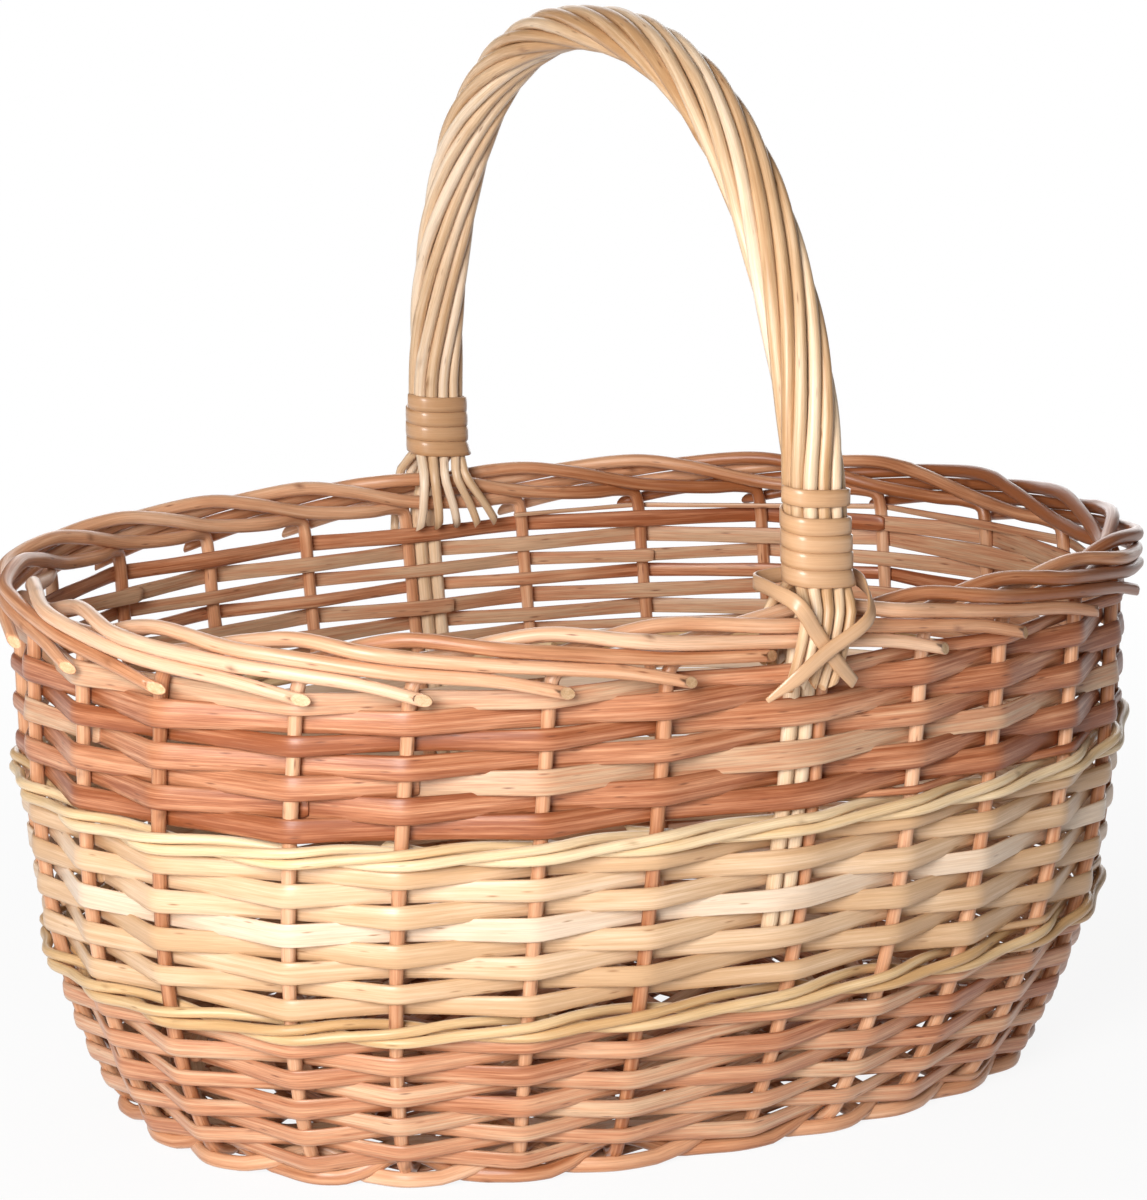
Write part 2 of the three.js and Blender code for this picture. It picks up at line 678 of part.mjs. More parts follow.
const stations = makeStations();
const archLength = stations[stations.length - 1].length;

// Centre of the handle at a height, on its front or its back leg
function legCentre(height, isFront) {
  const lean = Math.min(Math.max((height - WALL_HEIGHT) / NECK_RISE, 0), 1);
  const leg = isFront ? stations : stations.toReversed();
  if (lean < 1) return new THREE.Vector3(lerp(LEG_X, HANDLE_X, lean), leg[0].point.y, height);
  let low = 0;
  while (leg[low + 1].point.z < height) low += 1;
  const from = leg[low].point;
  const to = leg[low + 1].point;
  return from.clone().lerp(to, (height - from.z) / (to.z - from.z));
}

// Bow rod: up beside the front handle stake, over the arch and down beside the back one
function bowRod(number) {
  const shift = (number - 0.5) * BOW_SPACING;
  const heights = [BOW_TIP_HEIGHT, BOW_TIP_HEIGHT + 3 * BOW_RADIUS];
  const lengths = heights.map(lengthAtHeight);
  const top = lengthAtHeight(WALL_HEIGHT);
  const breaks = profile.map((entry) => entry.length);
  const wall = breaks.filter((length) => length > lengths[1] && length <= top);
  const leg = (isFront) => {
    const fraction = fractionAtX(LEG_X + shift, isFront);
    return [...lengths, ...wall].map((length) => site(fraction, length).point);
  };
  const arch = stations.map(({ point }) => along(point, sideways, shift));
  const points = [...leg(true), ...arch, ...leg(false).reverse()];
  const radii = points.map(() => BOW_RADIUS);
  radii[0] = BOW_RADIUS / 3;
  radii[radii.length - 1] = BOW_RADIUS / 3;
  return rod(points, radii);
}

// Strands lie round the two bow rods on a ring with straight sides and round ends
const RING_FLAT = BOW_SPACING / 2;
const RING_RADIUS = BOW_RADIUS + STRAND_SIZE / 2 + 5 * CLEARANCE;
const RING_HALF = 2 * RING_FLAT + Math.PI * RING_RADIUS;
const RING_STEP = (2 * RING_HALF) / STRAND_COUNT;

// Place on the ring, counted in strands from the middle of its outer side
function ringPlace(order) {
  const round = (((order * RING_STEP) % (2 * RING_HALF)) + 2 * RING_HALF) % (2 * RING_HALF);
  const side = round > RING_HALF ? -1 : 1;
  const length = side > 0 ? round : 2 * RING_HALF - round;
  const turn = Math.min(Math.max((length - RING_FLAT) / RING_RADIUS, 0), Math.PI);
  const flat = Math.min(length, RING_FLAT, RING_HALF - length);
  return {
    out: RING_RADIUS * Math.cos(turn),
    x: side * (flat + RING_RADIUS * Math.sin(turn)),
    turn: side * turn,
  };
}

function strandLoop(centre, outward, { out, x, turn }) {
  const through = along(outward.clone().multiplyScalar(Math.cos(turn)), sideways, Math.sin(turn));
  const across = along(sideways.clone().multiplyScalar(Math.cos(turn)), outward, -Math.sin(turn));
  const place = along(along(centre, outward, out), sideways, x);
  return stripLoop(place, across, STRAND_SIZE, through, STRAND_SIZE);
}

// Strand at a foot: its end by the wall, its run over the border, and the way up to the neck
const SPLAY_OUT = BORDER_SIDE + BORDER_RADIUS + STRAND_SIZE / 2 + 4 * CLEARANCE;
const SPLAY_STEP = STRAND_SIZE + SPLAY_GAP;
const GATHER_PARTS = [0, 1 / 3, 2 / 3];

function gathered(order, part) {
  const ring = ringPlace(order);
  const isOuter = Math.abs(ring.turn) < Math.PI / 2;
  const side = isOuter ? 1 : -1;
  const place = isOuter ? order : Math.sign(order) * (STRAND_COUNT / 2) - order;
  return {
    out: lerp(side * SPLAY_OUT, ring.out, part),
    x: lerp(place * SPLAY_STEP, ring.x, part),
    turn: lerp(isOuter ? 0 : Math.PI * Math.sign(ring.turn), ring.turn, part),
    place,
    side,
  };
}

function strandFoot(order, isFront) {
  const outward = new THREE.Vector3(0, isFront ? -1 : 1, 0);
  const splay = gathered(order, 0);
  const isOuter = splay.side > 0;
  const isWide = !isFront && !isOuter;
  const footRise = isOuter ? OUTER_FOOT_RISE : INNER_FOOT_RISE;
  const footX = isWide ? WIDE_FOOT_X : FOOT_X;
  const footStep = isWide ? WIDE_FOOT_STEP : FOOT_STEP;
  const end = legCentre(WALL_HEIGHT + footRise, isFront);
  const endPlace = {
    out: splay.side * (isOuter ? OUTER_FOOT_OUT : INNER_FOOT_OUT),
    x: footX - end.x + splay.place * footStep,
    turn: splay.turn,
  };
  const bend = legCentre(WALL_HEIGHT + BEND_RISE, isFront);
  const splayCentre = legCentre(WALL_HEIGHT + SPLAY_RISE, isFront);
  const bendPart = (BEND_RISE - footRise) / (SPLAY_RISE - footRise);
  const bendX = lerp(end.x + endPlace.x, splayCentre.x + splay.x, bendPart);
  const loops = [
    strandLoop(end, outward, endPlace),
    strandLoop(bend, outward, { out: splay.out, x: bendX - bend.x, turn: splay.turn }),
  ];
  GATHER_PARTS.forEach((part) => {
    const centre = legCentre(WALL_HEIGHT + lerp(SPLAY_RISE, NECK_RISE, part), isFront);
    loops.push(strandLoop(centre, outward, gathered(order, part)));
  });
  return loops;
}

// Order on the ring brought back to between minus and plus half of the strands
function nearOrder(order) {
  return order - STRAND_COUNT * Math.round((order - 0.5) / STRAND_COUNT);
}

// Strand: splayed over the border, gathered at the neck, twisted round the bow rods
const TWIST_START = CANE_PITCH * FRONT_TURNS + FRONT_GAP;

function strand(number) {
  const orderAt = (length) => {
    const part = (length - TWIST_START) / (archLength - 2 * TWIST_START);
    return number + STRAND_COUNT * STRAND_TWIST * Math.min(Math.max(part, 0), 1);
  };
  const loops = strandFoot(nearOrder(number), true);
  stations.forEach(({ point, outward, length }) => {
    loops.push(strandLoop(point, outward, ringPlace(orderAt(length))));
  });
  loops.push(...strandFoot(nearOrder(Math.round(orderAt(archLength))), false).reverse());
  return skin(loops);
}

// Binding: flat cane wound round the neck, with straight sides and round ends like the ring
const END_SECTIONS = 6; // sections of a binding on each round end
const TURN_SECTIONS = 2 * END_SECTIONS + 2;

// Reach of the strands from the middles of the bow rods, at a height
function girth(height) {
  const part = (height - WALL_HEIGHT - SPLAY_RISE) / (NECK_RISE - SPLAY_RISE);
  let reach = 0;
  for (let number = 0; number < STRAND_COUNT; number += 1) {
    const place = gathered(nearOrder(number), Math.min(Math.max(part, 0), 1));
    strandLoop(new THREE.Vector3(), new THREE.Vector3(0, -1, 0), place).forEach((corner) => {
      reach = Math.max(reach, Math.hypot(Math.max(Math.abs(corner.x) - RING_FLAT, 0), corner.y));
    });
  }
  return reach;
}

// Least distance between the turns of a binding, measured on the corners of its sections
function leastGap(loops) {
  let least = Infinity;
  loops.forEach((loop, index) => {
    const later = loops.slice(index + TURN_SECTIONS / 2).flat();
    loop.forEach((corner) => {
      later.forEach((other) => {
        least = Math.min(least, corner.distanceTo(other));
      });
    });
  });
  return least;
}

function binding(isFront, turns, gap) {
  const loops = [];
  for (let step = 0; step <= Math.round(turns * TURN_SECTIONS); step += 1) {
    const turnsDone = step / TURN_SECTIONS;
    const gapPart = Math.min(Math.max(turnsDone - turns + 1, 0), 0.5) * 2;
    const height = WALL_HEIGHT + CANE_RISE + CANE_PITCH * turnsDone + gap * gapPart;
    const place = step % TURN_SECTIONS;
    const isRight = place <= END_SECTIONS;
    const angle = ((isRight ? place : place - 1) * Math.PI) / END_SECTIONS;
    const outward = new THREE.Vector3(Math.sin(angle), Math.cos(angle), 0);
    const reach = girth(height - CANE_WIDTH / 2) + CLEARANCE;
    const ring = reach / Math.cos(Math.PI / END_SECTIONS / 2) + CANE_THICKNESS / 2;
    const corner = along(legCentre(height, isFront), sideways, isRight ? RING_FLAT : -RING_FLAT);
    loops.push(stripLoop(along(corner, outward, ring), UP, CANE_WIDTH, outward, CANE_THICKNESS));
  }
  const end = isFront ? 'front' : 'back';
  console.log(`Least gap between the turns of the ${end} binding: ${leastGap(loops).toFixed(2)} mm`);
  return skin(loops);
}

// Lashing: one length of cane from low on the right, up to the left over the splayed strands,
// round the neck and down again to the left, so that it crosses itself in front.
// x is counted from the middle of the leg, rise from the top of the wall.
const LASHING_NEAR = SPLAY_OUT + STRAND_SIZE / 2 + 2 * CLEARANCE + CANE_THICKNESS / 2;
const LASHING_FAR = LASHING_NEAR + CANE_THICKNESS + 2 * CLEARANCE;
const LOOP_CORNER = 0.8 * LASHING_HALF;
const LASHING_RUN = [
  { x: 0.77 * LASHING_HALF, out: 0.82 * LASHING_NEAR, rise: -LASHING_DROP },
  { x: 0.3 * LASHING_HALF, out: LASHING_NEAR, rise: 0 },
  { x: -0.26 * LASHING_HALF, out: LASHING_NEAR, rise: 0.43 * LOOP_RISE },
  { x: -0.82 * LASHING_HALF, out: LASHING_NEAR, rise: 0.87 * LOOP_RISE },
  { x: -LASHING_HALF, out: 0, rise: LOOP_RISE },
  { x: -LOOP_CORNER, out: -LASHING_FAR, rise: LOOP_RISE },
  { x: LOOP_CORNER, out: -LASHING_FAR, rise: LOOP_RISE },
  { x: LASHING_HALF, out: 0, rise: 0.96 * LOOP_RISE },
  { x: 0.76 * LASHING_HALF, out: LASHING_FAR, rise: 0.6 * LOOP_RISE },
  { x: 0, out: LASHING_FAR, rise: 0.2 * LOOP_RISE },
  { x: -0.5 * LASHING_HALF, out: 0.95 * LASHING_FAR, rise: -0.1 * LOOP_RISE },
  { x: -1.1 * LASHING_HALF, out: 0.7 * LASHING_FAR, rise: -1.3 * LASHING_DROP },
];

function lashing() {
  const points = LASHING_RUN.map(({ x, out, rise }) => {
    const centre = legCentre(WALL_HEIGHT + rise, true);
    return new THREE.Vector3(centre.x + x, centre.y - out, centre.z);
  });
  const loops = points.map((point, index) => {
    const before = points[Math.max(index - 1, 0)];
    const after = points[Math.min(index + 1, points.length - 1)];
    const tangent = after.clone().sub(before).normalize();
    const { x, out } = LASHING_RUN[index];
    const away = new THREE.Vector3(x / 4, -out, 0).normalize();
    const through = along(away, tangent, -away.dot(tangent)).normalize();
    const across = tangent.clone().cross(through);
    return stripLoop(point, across, LASHING_WIDTH, through, CANE_THICKNESS);
  });
  return skin(loops);
}

// Assembly, from the base up
for (let number = 0; number < SHORT_STICKS; number += 1) {
  add(`base_short_stick_${number + 1}`, shortStick(number), RUSSET);
}
for (let number = 0; number < LONG_STICKS; number += 1) {
  add(`base_long_stick_${number + 1}`, longStick(number), RUSSET);
}
add('base_weaver_1', baseWeaver(0), BROWN);
add('base_weaver_2', baseWeaver(1), BROWN);

const waleHalf = WALE_CROSS + WALE_ROD / 2 + CLEARANCE;
const lowerWale = lengthAtHeight(LOWER_WALE_HEIGHT);
const upperWale = lengthAtHeight(UPPER_WALE_HEIGHT);
const footTop = FOOT_LENGTH + FOOT_CROSS + FOOT_ROD / Math.SQRT2 + CLEARANCE;
const upperTop = lengthAtHeight(WALL_HEIGHT - BORDER_RADIUS + 2 * CLEARANCE);

add('base_rim_weave', band(ROW_GAP - TAIL_LENGTH, -RIM_INSET, RIM_ROWS), BROWN);
add('foot_wale', footWale(), RUSSET);
add('lower_band', band(footTop, lowerWale - waleHalf, LOWER_ROWS), BROWN);
add('lower_wale', wale(lowerWale), PALE);
add('pale_band', band(lowerWale + waleHalf, upperWale - waleHalf, PALE_ROWS), PALE);
add('upper_wale', wale(upperWale), PALE);
add('upper_band', band(upperWale + waleHalf, upperTop, UPPER_ROWS), BROWN);
for (let number = 0; number < STAKES; number += 1) {
  add(`stake_${number + 1}`, stakeRod(number), RUSSET);
}
add('bow_rod_1', bowRod(0), HANDLE_COLOUR);
add('bow_rod_2', bowRod(1), HANDLE_COLOUR);
for (let number = 0; number < STRAND_COUNT; number += 1) {
  add(`handle_strand_${number + 1}`, strand(number), HANDLE_COLOUR);
}
add('front_binding', binding(true, FRONT_TURNS, FRONT_GAP), CANE_COLOUR);
add('back_binding', binding(false, BACK_TURNS, 0), CANE_COLOUR);
add('front_lashing', lashing(), CANE_COLOUR);

// Stand the basket on z = 0 with its box centred on the z axis
const box = new THREE.Box3().setFromObject(basket);
const middle = box.getCenter(new THREE.Vector3());
basket.position.set(-middle.x, -middle.y, -box.min.z);

export default basket;
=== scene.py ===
# Looks of the oval willow basket: rods, split strips and cane built round the fixed frame.
import math

import bpy
import numpy as np
from mathutils import Matrix, Vector


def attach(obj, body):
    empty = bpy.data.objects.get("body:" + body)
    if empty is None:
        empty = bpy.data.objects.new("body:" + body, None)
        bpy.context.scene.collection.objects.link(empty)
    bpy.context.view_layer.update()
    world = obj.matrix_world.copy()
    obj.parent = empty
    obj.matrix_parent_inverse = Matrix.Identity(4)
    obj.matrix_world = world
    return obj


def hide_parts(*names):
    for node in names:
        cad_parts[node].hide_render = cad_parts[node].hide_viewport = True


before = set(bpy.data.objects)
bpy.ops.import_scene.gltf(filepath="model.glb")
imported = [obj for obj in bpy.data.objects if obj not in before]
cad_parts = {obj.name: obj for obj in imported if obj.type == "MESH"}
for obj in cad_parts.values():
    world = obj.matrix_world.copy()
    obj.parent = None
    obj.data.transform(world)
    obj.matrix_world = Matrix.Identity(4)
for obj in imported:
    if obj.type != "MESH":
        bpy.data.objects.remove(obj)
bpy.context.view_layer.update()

# Sizes in millimetres, as in the part's source
MOUTH = np.array([446.0, 317.0])
BASE = np.array([370.0, 246.0])
OVAL_POWER = 2.4
WALL_HEIGHT = 200.0
FLARE_POWER = 3.2
STAKE_LEAN = 0.012
STAKE_SPACING = [50, 46, 55, 41, 51, 45, 65, 45, 40, 48, 41] + [54] * 8 + [49] * 6
FRONT_HANDLE_STAKE, BACK_HANDLE_STAKE = 7, 19
STAKE_RADIUS, BORDER_RADIUS, FOOT_ROD = 2.7, 2.6, 4.2
CLEARANCE, ROW_GAP, LEAST_STRIP = 0.35, 0.5, 1.6
LOWER_ROWS, PALE_ROWS, UPPER_ROWS, RIM_ROWS = 9, 8, 7, 3
LOWER_WALE_HEIGHT, UPPER_WALE_HEIGHT = 70.0, 138.0
FOOT_BEND_RADIUS, TAIL_LENGTH, TAIL_SLOPE, FOOT_WALE_SLOPE = 12.0, 28.0, -0.26, 0.55
SHORT_STICKS, SHORT_STICK_SHARE, STICK_SIZE = 5, 0.48, 7.0
LONG_STICKS, LONG_STICK_SIZE, LONG_STICK_SPACING = 4, 4.4, 5.0
FAN_ANGLE, FAN_CLEAR, BASE_MARGIN = 0.56, 25.0, 0.8
BORDER_TOP, BORDER_SPAN, TOP_BEND = 17.2, 5, 4.0
LEG_X, HANDLE_X, HANDLE_TOP_X, HANDLE_HEIGHT, HANDLE_POWER = 8.0, 14.5, 9.5, 418.0, 2.25
BOW_RADIUS, BOW_TIP_HEIGHT = 3.05, 90.0
STRAND_COUNT, STRAND_SIZE, STRAND_TWIST = 10, 4.0, 1.6
BEND_RISE, SPLAY_RISE, NECK_RISE, SPLAY_GAP = 3.0, 18.5, 28.5, 0.8
OUTER_FOOT_RISE, OUTER_FOOT_OUT, INNER_FOOT_RISE, INNER_FOOT_OUT = -9.0, 9.5, -3.0, 10.2
FOOT_X, FOOT_STEP, WIDE_FOOT_X, WIDE_FOOT_STEP = 6.6, 4.6, 18.7, 8.8
CANE_THICKNESS, CANE_PITCH, CANE_RISE = 1.2, 6.4, 26.5
FRONT_TURNS, FRONT_GAP, BACK_TURNS = 4.75, 4.0, 3.75
LASHING_HALF, LOOP_RISE, LASHING_DROP = 19.5, 26.5, 9.0

# Sizes of the shown pieces that differ from the solids'
STRIP_THICKNESS, BASE_STRIP, CANE_WIDTH, LASHING_WIDTH = 1.5, 2.2, 6.6, 5.9
WALE_RADIUS, FOOT_RADIUS, STRAND_RADIUS, RING_RADIUS = 2.1, 2.5, 2.6, 6.2
FAN_START, BASE_ROUNDS = 15.0, 4

# Where the middle that these sizes are measured from lies in the frame
SHIFT = np.array([-0.15289, 2.02341, -2.20214])
STAKES = len(STAKE_SPACING)
HANDLE_STAKES = (FRONT_HANDLE_STAKE, BACK_HANDLE_STAKE)
TURN = 2 * math.pi
UP = np.array([0.0, 0.0, 1.0])
SIDEWAYS = np.array([1.0, 0.0, 0.0])
OVAL_SAMPLES, BEND_SAMPLES, WALL_SAMPLES, SPLINE_SAMPLES = 1441, 12, 40, 12
ABOVE_WALL = 300.0
chance = np.random.default_rng(7)
scene = bpy.context.scene


def lerp(a, b, part):
    return a + (b - a) * part


def unit(v):
    return v / np.maximum(np.linalg.norm(v, axis=-1, keepdims=True), 1e-12)


def arc_lengths(points):
    return np.concatenate([[0.0], np.cumsum(np.linalg.norm(np.diff(points, axis=0), axis=1))])


# Oval of the mouth by arc length
def oval_point(half_length, half_width, angle):
    c, s = np.cos(angle), np.sin(angle)
    power = 2 / OVAL_POWER
    x = half_length * np.sign(c) * np.abs(c) ** power
    y = half_width * np.sign(s) * np.abs(s) ** power
    return np.stack([x, y, np.zeros_like(x)], -1)


oval_angles = np.linspace(0, TURN, OVAL_SAMPLES)
oval_lengths = arc_lengths(oval_point(MOUTH[0] / 2, MOUTH[1] / 2, oval_angles))
PERIMETER = oval_lengths[-1]


def oval_angle(fraction):
    whole = np.floor(fraction)
    return TURN * whole + np.interp((fraction - whole) * PERIMETER, oval_lengths, oval_angles)


def fraction_at_x(x, is_front):
    cosine = math.copysign((abs(x) / (MOUTH[0] / 2)) ** (OVAL_POWER / 2), x)
    angle = TURN - math.acos(cosine) if is_front else math.acos(cosine)
    return float(np.interp(angle, oval_angles, oval_lengths)) / PERIMETER


# Profile of a stake by length: straight tail, bend at the foot, flaring wall, straight up above it
SPREAD = float(np.sum(MOUTH - BASE)) / 4


def flare(height):
    return SPREAD * (1 - (1 - np.minimum(height / WALL_HEIGHT, 1)) ** FLARE_POWER)


wall_foot = 2 * STAKE_RADIUS + 2 * FOOT_ROD
WALL_FOOT_SLOPE = math.atan2(1, flare(wall_foot + 1) - flare(wall_foot))
bend_drop = FOOT_BEND_RADIUS * (math.cos(TAIL_SLOPE) - math.cos(WALL_FOOT_SLOPE))
bend_reach = FOOT_BEND_RADIUS * (math.sin(WALL_FOOT_SLOPE) - math.sin(TAIL_SLOPE))
bend_out, bend_low = flare(wall_foot) - bend_reach, wall_foot - bend_drop
slopes = np.linspace(TAIL_SLOPE, WALL_FOOT_SLOPE, BEND_SAMPLES)
heights = np.linspace(wall_foot, WALL_HEIGHT, WALL_SAMPLES)[1:]
tail = np.array([math.cos(TAIL_SLOPE), math.sin(TAIL_SLOPE)]) * TAIL_LENGTH
bend = np.stack([bend_out + FOOT_BEND_RADIUS * (np.sin(slopes) - math.sin(TAIL_SLOPE)),
                 bend_low + FOOT_BEND_RADIUS * (math.cos(TAIL_SLOPE) - np.cos(slopes))], -1)
wall = np.stack([flare(heights), heights], -1)
top = np.array([[flare(WALL_HEIGHT), WALL_HEIGHT + ABOVE_WALL]])
profile = np.vstack([bend[:1] - tail, bend, wall, top])
wall_slopes = np.arctan2(1.0, flare(heights + 0.5) - flare(heights - 0.5))
profile_slope = np.concatenate([[TAIL_SLOPE], slopes, wall_slopes, [math.pi / 2]])
profile_out, profile_height = profile.T
profile_length = arc_lengths(profile) - TAIL_LENGTH
lowest = int(np.argmin(profile_height))


def length_at_height(height):
    return np.interp(height, profile_height[lowest:], profile_length[lowest:])


# Place on the wall: point, outward normal, direction up the stake, level outward direction
def site(fraction, length):
    fraction, length = np.broadcast_arrays(fraction, length)
    out = np.interp(length, profile_length, profile_out)
    height = np.interp(length, profile_length, profile_height)
    slope = np.interp(length, profile_length, profile_slope)[..., None]
    rise = np.minimum(height / WALL_HEIGHT, 1)
    angle = oval_angle(fraction - STAKE_LEAN * (1 - rise))
    half = lerp(BASE, MOUTH, (out / SPREAD)[..., None]) / 2
    point = oval_point(half[..., 0], half[..., 1], angle)
    ratio = np.abs(point[..., :2]) / half
    level = np.sign(point[..., :2]) * ratio ** (OVAL_POWER - 1) / half
    flat = unit(np.concatenate([level, np.zeros_like(level[..., :1])], -1))
    normal = flat * np.sin(slope) - UP * np.cos(slope)
    rising = flat * np.cos(slope) + UP * np.sin(slope)
    point[..., 2] = height
    return point, normal, rising, flat


# Places of the stakes round the mouth
BOW_SPACING = 2 * BOW_RADIUS + CLEARANCE
BOW_TO_STAKE = BOW_SPACING / 2 + BOW_RADIUS + STAKE_RADIUS + CLEARANCE
front = fraction_at_x(LEG_X + BOW_TO_STAKE, True)
back = fraction_at_x(LEG_X - BOW_TO_STAKE, False) + 1
stake_fractions = np.zeros(STAKES)
for first, last, start, end in ((FRONT_HANDLE_STAKE, BACK_HANDLE_STAKE, front, back),
                                (BACK_HANDLE_STAKE, FRONT_HANDLE_STAKE + STAKES, back, front + 1)):
    places = [number % STAKES for number in range(first, last)]
    steps = np.array([STAKE_SPACING[place] for place in places], float)
    done = np.concatenate([[0.0], np.cumsum(steps)[:-1]]) / steps.sum()
    stake_fractions[places] = lerp(start, end, done)
stake_fractions %= 1


def round_at(place):
    number = math.floor(place)
    start = stake_fractions[number % STAKES]
    end = stake_fractions[(number + 1) % STAKES]
    return lerp(start, end + (1 if end < start else 0), place - number)


tip_length = length_at_height(BOW_TIP_HEIGHT)
group_width = (BOW_TO_STAKE + BOW_SPACING / 2) / PERIMETER


# Fractions at which a strip or rod bends round a stake, and round the bow rods beside it
def passes(count, length):
    place = count % STAKES
    fraction = stake_fractions[place]
    if place in HANDLE_STAKES and length > tip_length:
        return [fraction - group_width, fraction]
    return [fraction]


# Rows of keys at even steps along the line of their first three columns
def resample(keys, step):
    lengths = arc_lengths(keys[:, :3])
    at = np.linspace(0, lengths[-1], max(2, round(lengths[-1] / step)) + 1)
    return lengths, at, np.stack([np.interp(at, lengths, column) for column in keys.T], -1)


# Smooth line through points, with samples at even steps
def spline(points, step):
    p = np.asarray(points, float)
    q = np.vstack([2 * p[0] - p[1], p, 2 * p[-1] - p[-2]])
    t = np.concatenate([[0.0], np.cumsum(np.linalg.norm(np.diff(q, axis=0), axis=1) ** 0.5)])
    parts = []
    for i in range(1, len(q) - 2):
        u = np.linspace(t[i], t[i + 1], SPLINE_SAMPLES + 1)[:-1, None]
        a = [lerp(q[j], q[j + 1], (u - t[j]) / (t[j + 1] - t[j])) for j in (i - 1, i, i + 1)]
        b = [lerp(a[j], a[j + 1], (u - t[i - 1 + j]) / (t[i + 1 + j] - t[i - 1 + j])) for j in (0, 1)]
        parts.append(lerp(b[0], b[1], (u - t[i]) / (t[i + 1] - t[i])))
    return resample(np.vstack(parts + [p[-1:]]), step)[2]


# Repeats the first and last row; a single number stays as it is
def grow(rows):
    return np.concatenate([rows[:1], rows, rows[-1:]]) if np.ndim(rows) else rows


def hill(distance, width):
    return np.exp(-(distance / width) ** 2)


# Rods: ripples by share of the radius and length, knots by share of spacing, swellings, bevelled ends
RIPPLES = ((0.02, 17.0), (0.015, 7.3))
FIRST_KNOT, KNOT_SCATTER, BARE_END = (0.2, 0.9), 0.35, 6.0
KNOT_SWELL, KNOT_LENGTH, KNOT_ANGLE = 0.11, 3.5, 0.7
COLLAR_SWELL, COLLAR_LENGTH = 0.035, 5.0
SCAR_LENGTH, SCAR_ANGLE = 1.6, 0.42
WAVER_LENGTH, STEEP = 23.0, 0.8
BEVEL_SHARE, BEVEL_DEPTH = 0.14, 0.22
FIBRE_SPREAD = 4000.0


def show(name, data):
    shown = bpy.data.objects.new(name, data)
    scene.collection.objects.link(shown)
    return shown


